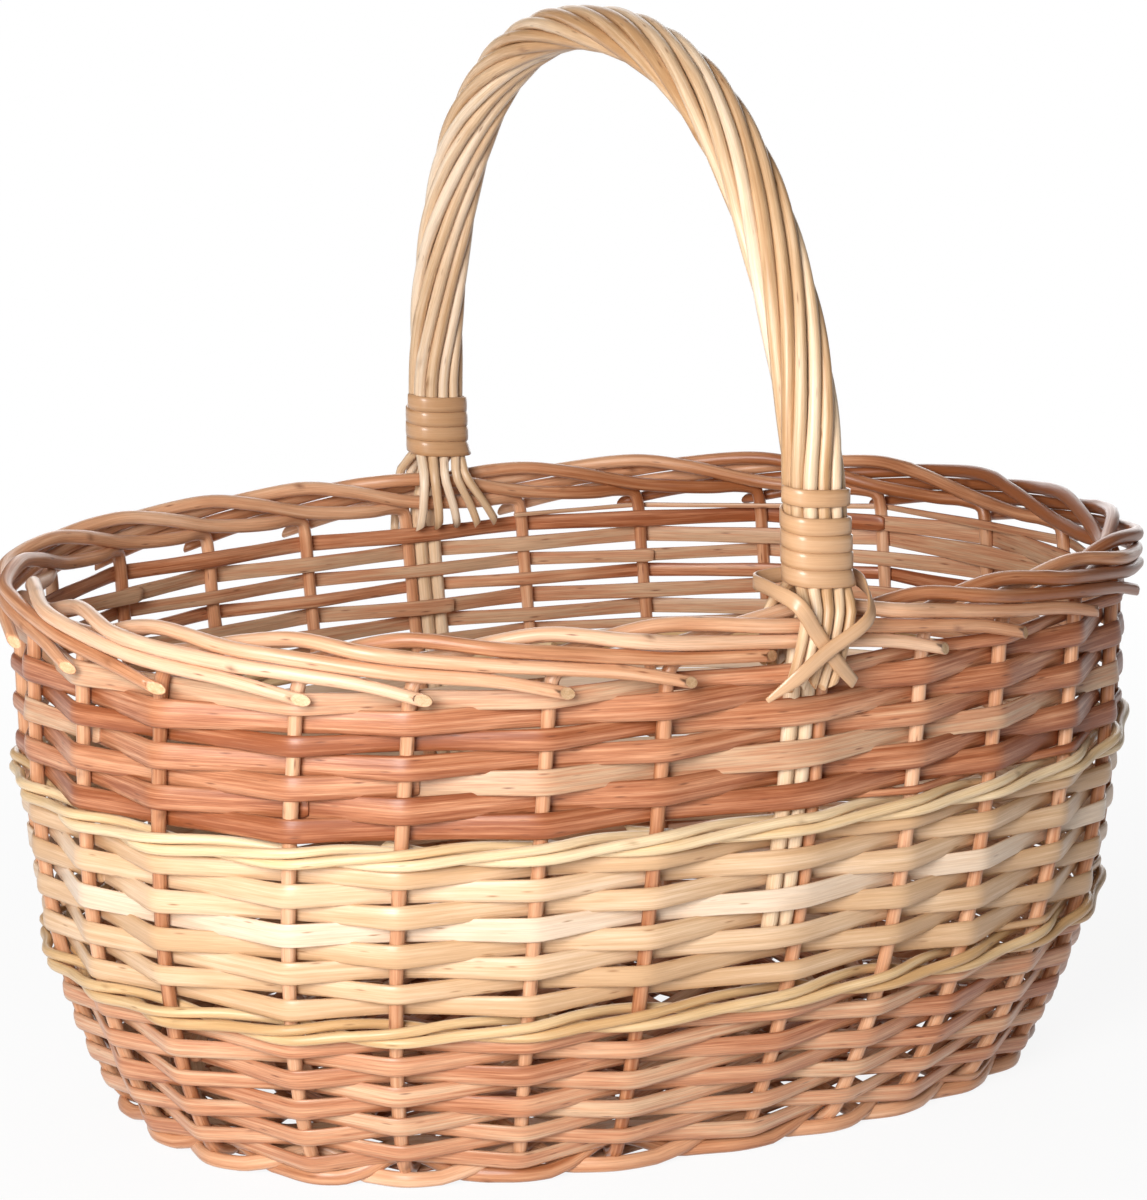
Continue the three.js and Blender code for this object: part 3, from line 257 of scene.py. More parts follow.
# One shown piece: closed bodies with fibre coordinates, tone, scars and darkened edges, which are partly
# bark left on the edges and partly painted shade of the gaps between strips
class Piece:
    def __init__(self, node, kind):
        self.node, self.name = node, f"{node}_{kind}"
        self.points, self.fibre, self.trait, self.faces, self.kinds = [], [], [], [], []
        self.count = 0

    # Closed body through sections, with bevelled ends, so that a cut end keeps a crisp rim
    def sweep(self, sections, fibre, tangent, tone, scar=0.0, edge=0.0):
        sections, fibre, *traits = map(grow, (sections, fibre, tone, scar, edge))
        for row, away in ((0, -tangent[0]), (-1, tangent[-1])):
            ring = sections[row]
            sections[row] = lerp(ring, ring.mean(0), BEVEL_SHARE) + BEVEL_DEPTH * away
        n, k = sections.shape[:2]
        trait = np.stack([np.broadcast_to(values, (n, k)) for values in traits], -1)
        rows, columns = np.arange(n - 1)[:, None] * k, np.arange(k)[None]
        after = (columns + 1) % k
        quads = np.stack([rows + columns, rows + after, rows + k + after, rows + k + columns], -1)
        quads = quads.reshape(-1, 4)
        flat = sections.reshape(-1, 3) - sections.mean((0, 1))
        corner = flat[quads.T]
        spans = np.cross(corner[1], corner[2]) + np.cross(corner[2], corner[3])
        volume = np.sum(corner[0] * spans)
        caps = [list(range(k - 1, -1, -1)), list(range((n - 1) * k, n * k))]
        if volume < 0:
            quads = quads[:, ::-1]
            caps = [cap[::-1] for cap in caps]
        self.faces += (quads + self.count).tolist()
        self.faces += [[v + self.count for v in cap] for cap in caps]
        self.kinds += [0] * len(quads) + [1, 1]
        self.points.append(sections.reshape(-1, 3))
        self.fibre.append((fibre + chance.uniform(0, FIBRE_SPREAD, 3)).reshape(-1, 3))
        self.trait.append(trait.reshape(-1, 3))
        self.count += n * k

    # Round rod along a path: swellings with bud scars, small bends, cut ends
    def rod(self, path, radius, tone, sides=12, slant=(0.0, 0.0), knots=80.0, waver=0.12, facing=None,
            flatten=1.0):
        n = len(path)
        at = arc_lengths(path)
        tangent = unit(np.gradient(path, axis=0))
        side = np.zeros_like(path)
        start = UP if abs(tangent[0, 2]) < STEEP else SIDEWAYS
        for i in range(n):
            start = unit(start - tangent[i] * np.dot(start, tangent[i]))
            side[i] = start
        other = np.cross(tangent, side)
        theta = TURN * np.arange(sides) / sides
        r = np.broadcast_to(np.asarray(radius, float), (n,))[:, None] * np.ones(sides)
        waves = chance.uniform(0, TURN, 3)
        ripple = 1
        for (share, length), wave in zip(RIPPLES, waves):
            ripple = ripple + share * np.sin(at / length + wave)
        r = r * ripple[:, None]
        scar = np.zeros((n, sides))
        for spot in np.arange(chance.uniform(*FIRST_KNOT) * knots, at[-1] - BARE_END, knots):
            spot += chance.uniform(-KNOT_SCATTER, KNOT_SCATTER) * knots
            turn = chance.uniform(0, TURN)
            apart = np.abs((theta - turn + math.pi) % TURN - math.pi)[None]
            along = (at - spot)[:, None]
            r *= 1 + KNOT_SWELL * hill(along, KNOT_LENGTH) * hill(apart, KNOT_ANGLE)
            r *= 1 + COLLAR_SWELL * hill(along, COLLAR_LENGTH)
            scar = np.maximum(scar, hill(along, SCAR_LENGTH) * hill(apart, SCAR_ANGLE))
        bend = waver * np.sin(at / WAVER_LENGTH + waves[2])[:, None] * side
        tall, wide = flatten * np.cos(theta), np.sin(theta) / flatten
        ring = tall[None, :, None] * side[:, None] + wide[None, :, None] * other[:, None]
        sections = (path + bend)[:, None] + r[..., None] * ring
        for row, lean in ((0, slant[0]), (n - 1, slant[1])):
            push = r[row] * (np.cos(theta - waves[0]) if facing is None else -ring[row] @ facing)
            sections[row] += lean * push[:, None] * tangent[row]
        fibre = np.stack([np.broadcast_to(at[:, None], r.shape), r * np.cos(theta), r * np.sin(theta)], -1)
        self.sweep(sections, fibre, tangent, tone, scar=scar)

    # Strip along a path; shape is a closed outline in half widths and thicknesses
    def strip(self, centre, across, through, width, thickness, tone, shape):
        at = arc_lengths(centre)
        a = shape[:, 0] * np.reshape(width, (-1, 1)) / 2
        t = shape[:, 1] * np.reshape(thickness, (-1, 1))
        along, a, t = np.broadcast_arrays(at[:, None], a, t)
        sections = centre[:, None] + a[..., None] * across[:, None] + t[..., None] * through[:, None]
        fibre = np.stack([along, a, t], -1)
        # Darker towards the strip's edges: partly bark left on them, partly painted shade in the gaps
        # between strips
        edge = np.broadcast_to(np.abs(shape[:, 0]) ** 4, a.shape)
        self.sweep(sections, fibre, unit(np.gradient(centre, axis=0)), tone, edge=edge)

    def finish(self, slot, skin, cut):
        node, points = self.node, (np.vstack(self.points) + SHIFT) / 1000
        mesh = bpy.data.meshes.new(self.name)
        mesh.from_pydata(points.tolist(), [], self.faces)
        mesh.polygons.foreach_set("material_index", np.array(self.kinds, np.int32))
        mesh.polygons.foreach_set("use_smooth", np.array(self.kinds) == 0)
        for name, values in (("fibre", np.vstack(self.fibre) / 1000), ("trait", np.vstack(self.trait))):
            layer = mesh.attributes.new(name, "FLOAT_VECTOR", "POINT")
            layer.data.foreach_set("vector", values.astype(np.float32).ravel())
        mesh.materials.append(skin)
        mesh.materials.append(cut)
        mesh.update()
        shown = show(self.name, mesh)
        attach(shown, "root")
        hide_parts(node)


# Outline of a split strip: bark side with rounded edges, and flat split side
bark_side = np.array([1.0, 0.97, 0.86, 0.55, 0.0, -0.55, -0.86, -0.97, -1.0])
SPLIT = np.vstack([[[-0.97, -0.4], [-0.85, -0.5], [0.85, -0.5], [0.97, -0.4]],
                   np.stack([bark_side, 0.8 * (1 - np.abs(bark_side) ** 2.6) ** 0.55], -1)])
SPLIT_SIDE = SPLIT[:, 1] < -0.3
FLAT = np.array([[-1, 0.0], [-0.9, -0.42], [-0.4, -0.5], [0.4, -0.5], [0.9, -0.42],
                 [1, 0.0], [0.9, 0.42], [0.4, 0.5], [-0.4, 0.5], [-0.9, 0.42]])

# Distances of strips and rods from the middle of the wall, and their rise at a crossing
STRIP_OUT = STAKE_RADIUS + 0.5 * STRIP_THICKNESS + 0.4
STRIP_IN = STAKE_RADIUS + 0.8 * STRIP_THICKNESS + 0.3
WALE_OUT = STAKE_RADIUS + WALE_RADIUS + 0.15
WALE_STEP, WALE_CROSS = 2 * WALE_RADIUS, 1.15 * WALE_RADIUS
FOOT_CROSS, FOOT_DROP = 0.6 * FOOT_RADIUS, 1.2
FOOT_OUT = STAKE_RADIUS + CLEARANCE + FOOT_ROD / math.sqrt(2)


def soften(values, times):
    values = values.copy()
    for _ in range(times):
        values[1:-1] = 0.25 * values[:-2] + 0.5 * values[1:-1] + 0.25 * values[2:]
    return values


# Cuts a run of stakes into strips that begin and end behind a stake, on the inside
def strip_runs(first, last, shortest, longest, repeat):
    start = first
    while start < last:
        end = start + repeat * int(chance.integers(shortest, longest + 1))
        if end > last - repeat * shortest:
            end = last
        yield start, end
        start = end


# Lengthens a line at both ends; its first three columns are places
def lengthen(keys, shortest, longest):
    for end, inner in ((0, 1), (-1, -2)):
        away = keys[end, :3] - keys[inner, :3]
        extra = keys[end].copy()
        extra[:3] += away * chance.uniform(shortest, longest) / np.linalg.norm(away)
        keys = np.insert(keys, 0 if end == 0 else len(keys), extra, axis=0)
    return keys


# Painted shade: the willow is painted a darker, deeper brown towards the basket's right end, the side that
# lies in shade away from the key lamp
SHADE_FROM, SHADE_RUN = 40.0, 160.0


def painted_right_shade(points):
    return np.clip((points[:, :1] - SHADE_FROM) / SHADE_RUN, 0, 1)


# Strips: lengths in pairs of stakes, ends, steps, heights as shares of the row, tilt and tone
STRIP_PAIRS, STRIP_REACH, STRIP_STEP = (5, 9), (3.5, 6.0), 2.4
LAP_GAP, NUDGE = 0.3, 0.3
STRIP_TILT, HEIGHT_WANDER = (0.09, 0.05), (0.0, 0.05)
HEIGHT, STAKE_HEIGHT, HEIGHT_SHARE = 1.09, 0.08, (0.9, 1.1)
STRIP_TAPER, END_HEIGHT, THICKNESS_SHARE = (1.02, 0.95), 0.8, (0.92, 1.02)
TURNED_STRIPS, TONE_WAVE, TONE_LENGTH = 0.1, 0.08, 60.0
BARK_TONE, SPLIT_TONE = 0.75, 0.8


# Split strips woven in front of one stake and behind the next, round after round
def weave(piece, start, end, rows, tones, right_shade=0.0, slim=None):
    pitch = (end - start) / rows

    def edge(count):
        return min(max(start + pitch * count / STAKES, start), end)

    counts = [count for count in range(STAKES * (rows + 1))
              if edge(count) - edge(count - STAKES) - ROW_GAP >= LEAST_STRIP]
    for first, last in strip_runs(counts[0] | 1, (counts[-1] - 1) | 1, *STRIP_PAIRS, 2):
        share = chance.uniform(*HEIGHT_SHARE)
        keys = []
        for count in range(first, last + 1):
            low, high = edge(count - STAKES), edge(count)
            middle = (low + high) / 2
            out = STRIP_OUT if count % 2 == 0 else -STRIP_IN
            if count == first:
                out -= STRIP_THICKNESS + LAP_GAP
            nudge = chance.uniform(-NUDGE, NUDGE)
            thin = 1.0 if slim is None else slim(count)
            for fraction in passes(count, high):
                point, normal, rising, _ = site(fraction, middle)
                centre = point + normal * out + rising * nudge
                keys.append(np.concatenate([centre, normal, rising, [count, (high - low) * thin]]))
        keys = lengthen(np.array(keys), *STRIP_REACH)
        lengths, at, run = resample(keys, STRIP_STEP)
        centre = soften(run[:, :3], 3)
        through, across = unit(soften(run[:, 3:6], 2)), unit(soften(run[:, 6:9], 2))
        tilt = np.interp(at, lengths, chance.normal(*STRIP_TILT, len(keys)))[:, None]
        tilted = through * np.cos(tilt) + across * np.sin(tilt)
        across = across * np.cos(tilt) - through * np.sin(tilt)
        at_stake = 0.5 + 0.5 * np.cos(TURN * run[:, 9])
        wander = np.interp(at, lengths, chance.normal(*HEIGHT_WANDER, len(keys)))
        taper = np.linspace(*STRIP_TAPER, len(at))
        height = run[:, 10] * (HEIGHT + STAKE_HEIGHT * at_stake + wander) * share * taper
        height = np.maximum(height, LEAST_STRIP)
        height[[0, -1]] *= END_HEIGHT
        tone = chance.uniform(*tones)
        tone = tone + TONE_WAVE * np.sin(at / TONE_LENGTH + chance.uniform(0, TURN))[:, None]
        # Painted shade: the strip is darker towards the basket's right end
        tone = tone - right_shade * painted_right_shade(centre)
        tone = np.where(SPLIT_SIDE, lerp(tone, 1, SPLIT_TONE), BARK_TONE * tone)
        shape = SPLIT * [1, -1] if chance.random() < TURNED_STRIPS else SPLIT
        thickness = STRIP_THICKNESS * chance.uniform(*THICKNESS_SHARE)
        piece.strip(centre, across, tilted, height, thickness, tone, shape)


# Rods twisted round the stakes, in lengths that begin and end on the inside.
# Each pass gives the rod's place at a stake and between it and the next one: out, rise, out, rise.
THREE_RODS = [(-WALE_OUT, 0, 0, -WALE_CROSS), (WALE_OUT, -WALE_STEP / 2, WALE_OUT, 0),
              (WALE_OUT, WALE_STEP / 2, 0, WALE_CROSS)]
TWO_RODS = [(-FOOT_OUT, 0, FOOT_OUT / 3, -FOOT_CROSS - FOOT_DROP),
            (FOOT_OUT, 0, FOOT_OUT / 3, FOOT_CROSS - FOOT_DROP)]
ROD_REPEATS, ROD_REACH, ROD_STEP, ROD_TAPER, FLOOR_ROOM = (2, 4), (6, 11), 3.0, (1.03, 0.92), 1.05


def wale(piece, length, rods, radius, tones, floor=-math.inf, flatten=1.0):
    repeat = len(rods)
    for first, last in strip_runs(0, repeat * STAKES, *ROD_REPEATS, repeat):
        points = []
        for count in range(first, last + 1):
            out, rise, next_out, next_rise = rods[count % repeat]
            out -= 2 * radius if count == first else 0
            for fraction in passes(count, length):
                point, normal, rising, _ = site(fraction, length)
                points.append(point + normal * out + rising * rise)
            if count < last:
                following = passes(count + 1, length)[0]
                here = stake_fractions[count % STAKES]
                ends = site(np.array([here, following]), length)[0]
                _, normal, rising, _ = site(here + ((following - here + 1) % 1) / 2, length)
                points.append(ends.mean(0) + normal * next_out + rising * next_rise)
        path = spline(lengthen(np.array(points), *ROD_REACH), ROD_STEP)
        path[:, 2] = np.maximum(path[:, 2], floor + FLOOR_ROOM * radius * flatten)
        width = radius * np.linspace(*ROD_TAPER, len(path))
        piece.rod(path, width, chance.uniform(*tones), sides=10, slant=(0.8, 0.8), knots=95, waver=0.0,
                  flatten=flatten)


# Screen colour as the linear colour that shaders take
def linear(*screen):
    shares = [value / 255 for value in screen]
    return *(v / 12.92 if v <= 0.04045 else ((v + 0.055) / 1.055) ** 2.4 for v in shares), 1.0


# Nodes of a material or of the world
class Graph:
    def __init__(self, owner, shader="Principled BSDF"):
        owner.use_nodes = True
        self.owner, self.tree = owner, owner.node_tree
        self.shader = self.tree.nodes[shader]

    def add(self, kind, inputs=None, **settings):
        node = self.tree.nodes.new("ShaderNode" + kind)
        for key, value in settings.items():
            setattr(node, key, value)
        for key, value in (inputs or {}).items():
            self.put(value, node, key)
        return node

    def put(self, value, node, key):
        socket = node.inputs[key]
        if isinstance(value, bpy.types.NodeSocket):
            self.tree.links.new(value, socket)
        else:
            socket.default_value = value

    def shade(self, value, key):
        self.put(value, self.shader, key)

    def surface(self, shader, output):
        self.put(shader.outputs[0], self.tree.nodes[output], "Surface")

    def maths(self, operation, a, b=0.0, clamp=False):
        return self.add("Math", {0: a, 1: b}, operation=operation, use_clamp=clamp).outputs[0]

    def ranged(self, value, low, high, to_low, to_high):
        inputs = {"Value": value, "From Min": low, "From Max": high, "To Min": to_low, "To Max": to_high}
        return self.add("MapRange", inputs).outputs["Result"]

    def mix(self, share, a, b, blend="MIX"):
        return self.add("Mix", {0: share, 6: a, 7: b}, data_type="RGBA", blend_type=blend).outputs[2]

    def noise(self, vector, stretch, detail=3.0, rough=0.55):
        scaled = self.add("VectorMath", {0: vector, 1: stretch}, operation="MULTIPLY").outputs[0]
        inputs = {"Vector": scaled, "Scale": 1.0, "Detail": detail, "Roughness": rough}
        return self.add("TexNoise", inputs).outputs[0]

    def ramp(self, value, colours):
        node = self.add("ValToRGB", {0: value})
        elements = node.color_ramp.elements
        while len(elements) < len(colours):
            elements.new(0.5)
        for i, colour in enumerate(colours):
            elements[i].position = i / (len(colours) - 1)
            elements[i].color = linear(*colour)
        return node.outputs[0]


# Grain in features per metre along the fibre and across it, and the span of noise that is used
BLOTCHES, STREAKS, LINES, SPECKS = (16, 60, 60), (16, 560, 560), (70, 2300, 2300), (85, 560, 560)
NOISE, LINE_NOISE, SPECK_SIZE = (0.3, 0.7), (0.35, 0.62), (0.06, 0.26)
BLOTCH, LINE_SHARE, SPECK_SHARE, SCAR_SHARE = 0.16, 0.22, 0.75, 0.8
SPECKED, SPECK_CORE, STREAK = 0.3, 0.26, 0.35
ROUGHER, SMOOTHER, COAT_ROUGHNESS, SPECULAR = 0.1, 0.08, 0.28, 0.4
BUMP_DEPTH, STREAK_RELIEF, LINE_RELIEF, SPOT_RELIEF = 0.0007, 0.6, 0.4, 0.5


# Willow with its grain along the fibre: streaks, fine lines, blotches, specks and bud scars, and edges
# darkened partly for bark and partly as painted shade between strips
def willow(name, colours, dark, rough, specks, streak=STREAK, bump=0.3, coat=0.0, edge=0.35):
    g = Graph(bpy.data.materials.new(name))
    fibre = g.add("Attribute", attribute_name="fibre").outputs["Vector"]
    trait = g.add("Attribute", attribute_name="trait").outputs["Vector"]
    parts = g.add("SeparateXYZ", {0: trait}).outputs
    dark = linear(*dark)
    blotch = g.noise(fibre, BLOTCHES, 2.0)
    streaks = g.noise(fibre, STREAKS, 5.0, 0.68)
    lines = g.noise(fibre, LINES, 2.0)
    tone = g.maths("ADD", parts[0], g.ranged(blotch, *NOISE, -BLOTCH, BLOTCH))
    colour = g.ramp(g.maths("ADD", tone, g.ranged(streaks, *NOISE, -streak, streak), True), colours)
    colour = g.mix(g.ranged(lines, *LINE_NOISE, LINE_SHARE * streak / STREAK, 0.0), colour, dark)
    cells = g.add("VectorMath", {0: fibre, 1: SPECKS}, operation="MULTIPLY").outputs[0]
    cell = g.add("TexVoronoi", {"Vector": cells, "Scale": 1.0}, feature="F1")
    chosen = g.add("SeparateColor", {0: cell.outputs["Color"]}).outputs[0]
    spot = g.ranged(cell.outputs["Distance"], *SPECK_SIZE, 1.0, 0.0)
    shown = g.ranged(chosen, 1 - SPECKED * specks, 1 - SPECK_CORE * specks, 0.0, SPECK_SHARE)
    spot = g.maths("MULTIPLY", spot, shown)
    spot = g.maths("MAXIMUM", spot, g.maths("MULTIPLY", parts[1], SCAR_SHARE))
    colour = g.mix(spot, colour, dark)
    # Edges: partly bark colour, partly painted shade of the gaps between strips
    colour = g.mix(g.maths("MULTIPLY", parts[2], edge), colour, dark)
    g.shade(colour, "Base Color")
    g.shade(g.ranged(streaks, *NOISE, rough + ROUGHER, rough - SMOOTHER), "Roughness")
    height = g.maths("MULTIPLY", streaks, STREAK_RELIEF)
    height = g.maths("ADD", height, g.maths("MULTIPLY", lines, LINE_RELIEF))
    height = g.maths("SUBTRACT", height, g.maths("MULTIPLY", spot, SPOT_RELIEF))
    raised = g.add("Bump", {"Strength": bump, "Distance": BUMP_DEPTH, "Height": height})
    g.shade(raised.outputs[0], "Normal")
    g.shade(coat, "Coat Weight")
    g.shade(COAT_ROUGHNESS, "Coat Roughness")
    g.shade(SPECULAR, "Specular IOR Level")
    return g.owner


# Colours from the deepest tone to the lightest, and the colour of lines and specks
brown_strip = willow(
    "split_willow_brown",
    [(150, 82, 46), (180, 114, 77), (203, 141, 103), (217, 163, 125), (223, 184, 148)], (104, 54, 30),
    rough=0.4, specks=0.8, streak=0.42, coat=0.18)
pale_strip = willow(
    "split_willow_pale",
    [(206, 166, 125), (225, 190, 153), (235, 206, 176), (242, 219, 194)], (146, 98, 54),
    rough=0.38, specks=0.4, streak=0.3, edge=0.22, coat=0.3)
pale_rod = willow(
    "rod_willow_pale", [(202, 160, 110), (223, 189, 142), (237, 211, 172)], (136, 92, 48),
    rough=0.4, specks=0.5, coat=0.2)
brown_rod = willow(
    "rod_willow_brown", [(152, 89, 50), (193, 134, 95), (217, 165, 127), (233, 191, 157)], (108, 58, 32),
    rough=0.38, specks=0.5, coat=0.18, streak=0.3)
handle_rod = willow(
    "handle_willow", [(186, 143, 100), (211, 175, 136), (228, 198, 164), (240, 217, 190)], (126, 80, 44),
    rough=0.4, specks=0.55, coat=0.2, streak=0.32)
cane = willow(
    "cane", [(182, 134, 93), (200, 156, 115), (212, 173, 137)], (150, 100, 56),
    rough=0.34, specks=0.15, coat=0.35, streak=0.22, bump=0.18)
cut_brown = willow(
    "cut_willow", [(196, 146, 100), (220, 178, 134), (238, 206, 166)], (140, 92, 54),
    rough=0.7, specks=0.2)

# Bands of the wall; a tone goes from 0, the deepest colour, to 1. The lower band's lighter tones are
# painted light, standing in for light bounced up from the floor
TONES, PALE_TONES, BOUNCE_LIT_TONES = (0.0, 0.75), (-0.1, 0.5), (0.6, 1.2)
LOWER_WALE_TONES, UPPER_WALE_TONES, FOOT_TONES = (-0.2, 0.45), (0.2, 0.95), (0.15, 0.65)
# How much painted shade each band gets towards the right end
LOWER_RIGHT_SHADE, PALE_RIGHT_SHADE, UPPER_RIGHT_SHADE = 0.25, 0.35, 0.45
FOOT_NEST, FOOT_FLATTEN = 0.6, 1.25
RIM_START, RIM_END = -TAIL_LENGTH - 1, 1.5
SLIM_HEIGHT, SLIM_FROM = 0.68, 60.0
lower_wale, upper_wale = length_at_height(LOWER_WALE_HEIGHT), length_at_height(UPPER_WALE_HEIGHT)
wale_half = WALE_CROSS + WALE_RADIUS
foot_length = (FOOT_WALE_SLOPE - TAIL_SLOPE) * FOOT_BEND_RADIUS
foot_top = foot_length + FOOT_CROSS - FOOT_DROP + FOOT_NEST * FOOT_RADIUS
upper_top = length_at_height(WALL_HEIGHT - BORDER_RADIUS + 2 * CLEARANCE)


# Strips are narrower at the back of the upper band
def slim_back(count):
    y = site(stake_fractions[count % STAKES], upper_wale)[0][1]
    return SLIM_HEIGHT if y > SLIM_FROM else 1.0


browns, pales = (brown_strip, "split_willow_brown"), (pale_strip, "split_willow_pale")
lower_end, pale_start = lower_wale - wale_half, lower_wale + wale_half
pale_end, upper_start = upper_wale - wale_half, upper_wale + wale_half
bands = [
    ("base_rim_weave", *browns, RIM_START, RIM_END, RIM_ROWS + 1, TONES),
    ("lower_band", *browns, foot_top, lower_end, LOWER_ROWS, BOUNCE_LIT_TONES, LOWER_RIGHT_SHADE),
    ("pale_band", *pales, pale_start, pale_end, PALE_ROWS, PALE_TONES, PALE_RIGHT_SHADE),
    ("upper_band", *browns, upper_start, upper_top, UPPER_ROWS, TONES, UPPER_RIGHT_SHADE, slim_back),
]
for node, skin, slot, *woven in bands:
    piece = Piece(node, "strips")
    weave(piece, *woven)
    piece.finish(slot, skin, skin)

wales = [("lower_wale", lower_wale, LOWER_WALE_TONES), ("upper_wale", upper_wale, UPPER_WALE_TONES)]
for node, length, tones in wales:
    piece = Piece(node, "rods")
    wale(piece, length, THREE_RODS, WALE_RADIUS, tones)
    piece.finish("rod_willow_pale", pale_rod, cut_brown)

piece = Piece("foot_wale", "rods")
wale(piece, foot_length, TWO_RODS, FOOT_RADIUS, FOOT_TONES, floor=-SHIFT[2], flatten=FOOT_FLATTEN)
piece.finish("rod_willow_brown", brown_rod, cut_brown)

# Stakes: tail, foot bend, wall, and the run in the border.
# A run's place is counted in stakes from its own, out in border widths, height in border heights.
BORDER_SIDE = max(STAKE_RADIUS, BOW_RADIUS) + BORDER_RADIUS + CLEARANCE
BORDER_RUN = [(0.03, -0.05, 0.17), (0.18, -0.5, 0.29), (0.4, -1, 0.3), (1, -1, 0.44), (1.6, -0.8, 0.84),
              (2, -0.15, 1), (2.6, 1, 0.83), (3, 1, 0.69), (3.6, 1, 0.49), (4, 1, 0.36)]
BORDER_END, BORDER_SHORT_END = [(4.6, 1.12, 0.16), (5.08, 1.5, -0.14)], [(4.6, 1.1, 0.2)]
BOW_REACH = 0.45
# Lengths along a stake: wall, start of its border run, last stretch; what the run's radius gains
WALL_END, BORDER_START, LAST_LENGTH, ADDED_RADIUS = 235.0, 265.0, 50.0, np.array([0.3, 0.1, -0.3])
# The stakes' tone in the border also takes painted shade towards the right end
STAKE_TONES, WALL_TONE, BORDER_TONE, BORDER_RIGHT_SHADE, TONE_RISE = (0.25, 0.95), 0.75, 1.1, 0.8, 8.0


# The rods are pressed to the sides by the bow rods, and are cut short before the handle's foot
def border_run(number):
    run = []
    for place, out, height in BORDER_RUN:
        pressed = min((stake - number - place) % STAKES for stake in HANDLE_STAKES) < BOW_REACH
        run.append((place, math.copysign(1, out) if pressed else out, height))
    return run + (BORDER_SHORT_END if (number + BORDER_SPAN) % STAKES in HANDLE_STAKES else BORDER_END)


for number in range(STAKES):
    fraction = stake_fractions[number]
    bend = length_at_height(WALL_HEIGHT - TOP_BEND / 2)
    tail, foot, wall = np.linspace(-TAIL_LENGTH, 0, 4), np.linspace(3, 24, 8), np.linspace(40, bend, 9)
    points = list(site(fraction, np.concatenate([tail, foot, wall]))[0])
    for place, out, height in border_run(number):
        length = length_at_height(WALL_HEIGHT + height * BORDER_TOP)
        point, _, _, flat = site(round_at(number + place), length)
        points.append(point + flat * out * BORDER_SIDE)
    path = spline(points, ROD_STEP)
    at = arc_lengths(path)
    radius = np.interp(at, [0, WALL_END, BORDER_START, at[-1] - LAST_LENGTH, at[-1]],
                       [STAKE_RADIUS, STAKE_RADIUS, *(BORDER_RADIUS + ADDED_RADIUS)])
    piece = Piece(f"stake_{number + 1}", "rod")
    in_border = np.clip((path[:, 2:] - WALL_HEIGHT) / TONE_RISE + 1, 0, 1)
    tone = chance.uniform(*STAKE_TONES) * lerp(WALL_TONE, BORDER_TONE, in_border)
    # Painted shade: the border part of the stake is darker towards the right end
    tone = tone - BORDER_RIGHT_SHADE * in_border * painted_right_shade(path)
    piece.rod(path, radius, tone, sides=14, slant=(0.3, 1.5), facing=unit(flat + 0.2 * UP))
    piece.finish("rod_willow_brown", brown_rod, cut_brown)

# Handle: centre line of the arch
neck_height = WALL_HEIGHT + NECK_RISE
wall_length = length_at_height(WALL_HEIGHT)
front_y, back_y = (site(fraction_at_x(LEG_X, is_front), wall_length)[0][1] for is_front in (True, False))
arch_half, arch_middle = (back_y - front_y) / 2, (back_y + front_y) / 2
ARCH_SAMPLES, ARCH_STEP, HANDLE_STEP = 1601, 5.0, 4.0
arch_angle = np.linspace(0, math.pi, ARCH_SAMPLES)
arch_rise = np.sin(arch_angle) ** (2 / HANDLE_POWER)
arch_run = np.sign(np.cos(arch_angle)) * np.abs(np.cos(arch_angle)) ** (2 / HANDLE_POWER)
arch = np.stack([lerp(HANDLE_X, HANDLE_TOP_X, arch_rise), arch_middle - arch_half * arch_run,
                 lerp(neck_height, HANDLE_HEIGHT, arch_rise)], -1)
arch = resample(arch, ARCH_STEP)[2]
arch_at = arc_lengths(arch)
arch_tangent = unit(np.gradient(arch, axis=0))
arch_outward = np.stack([np.zeros(len(arch)), -arch_tangent[:, 2], arch_tangent[:, 1]], -1)


# Centre of the handle at a height, on its front or its back leg
def leg_centre(height, is_front):
    leg = arch[:len(arch) // 2] if is_front else arch[::-1][:len(arch) // 2]
    lean = np.clip((height - WALL_HEIGHT) / NECK_RISE, 0, 1)
    x = np.where(lean < 1, lerp(LEG_X, HANDLE_X, lean), np.interp(height, leg[:, 2], leg[:, 0]))
    return np.stack([x, np.interp(height, leg[:, 2], leg[:, 1]), height], -1)


BOW_TIP, BOW_TIP_LENGTH, BOW_TONES = 0.33, 9.0, (0.5, 0.9)
for number in range(2):
    shift = (number - 0.5) * BOW_SPACING
    legs = []
    for is_front in (True, False):
        lengths = np.linspace(tip_length, wall_length, 12)
        legs.append(site(fraction_at_x(LEG_X + shift, is_front), lengths)[0])
    path = spline(np.vstack([legs[0], arch[::3] + SIDEWAYS * shift, legs[1][::-1]]), HANDLE_STEP)
    at = arc_lengths(path)
    from_end = np.minimum(at, at[-1] - at)
    radius = np.interp(from_end, [0, BOW_TIP_LENGTH], [BOW_TIP, 1]) * BOW_RADIUS
    piece = Piece(f"bow_rod_{number + 1}", "rod")
    piece.rod(path, radius, chance.uniform(*BOW_TONES), sides=14)
    piece.finish("handle_willow", handle_rod, cut_brown)

# Strands lie round the two bow rods on a ring with straight sides and round ends
RING_FLAT = BOW_SPACING / 2
RING_HALF = 2 * RING_FLAT + math.pi * RING_RADIUS
SPLAY_OUT = BORDER_SIDE + BORDER_RADIUS + STRAND_SIZE / 2 + 4 * CLEARANCE
SPLAY_STEP = STRAND_SIZE + SPLAY_GAP
TWIST_START = CANE_PITCH * FRONT_TURNS + FRONT_GAP
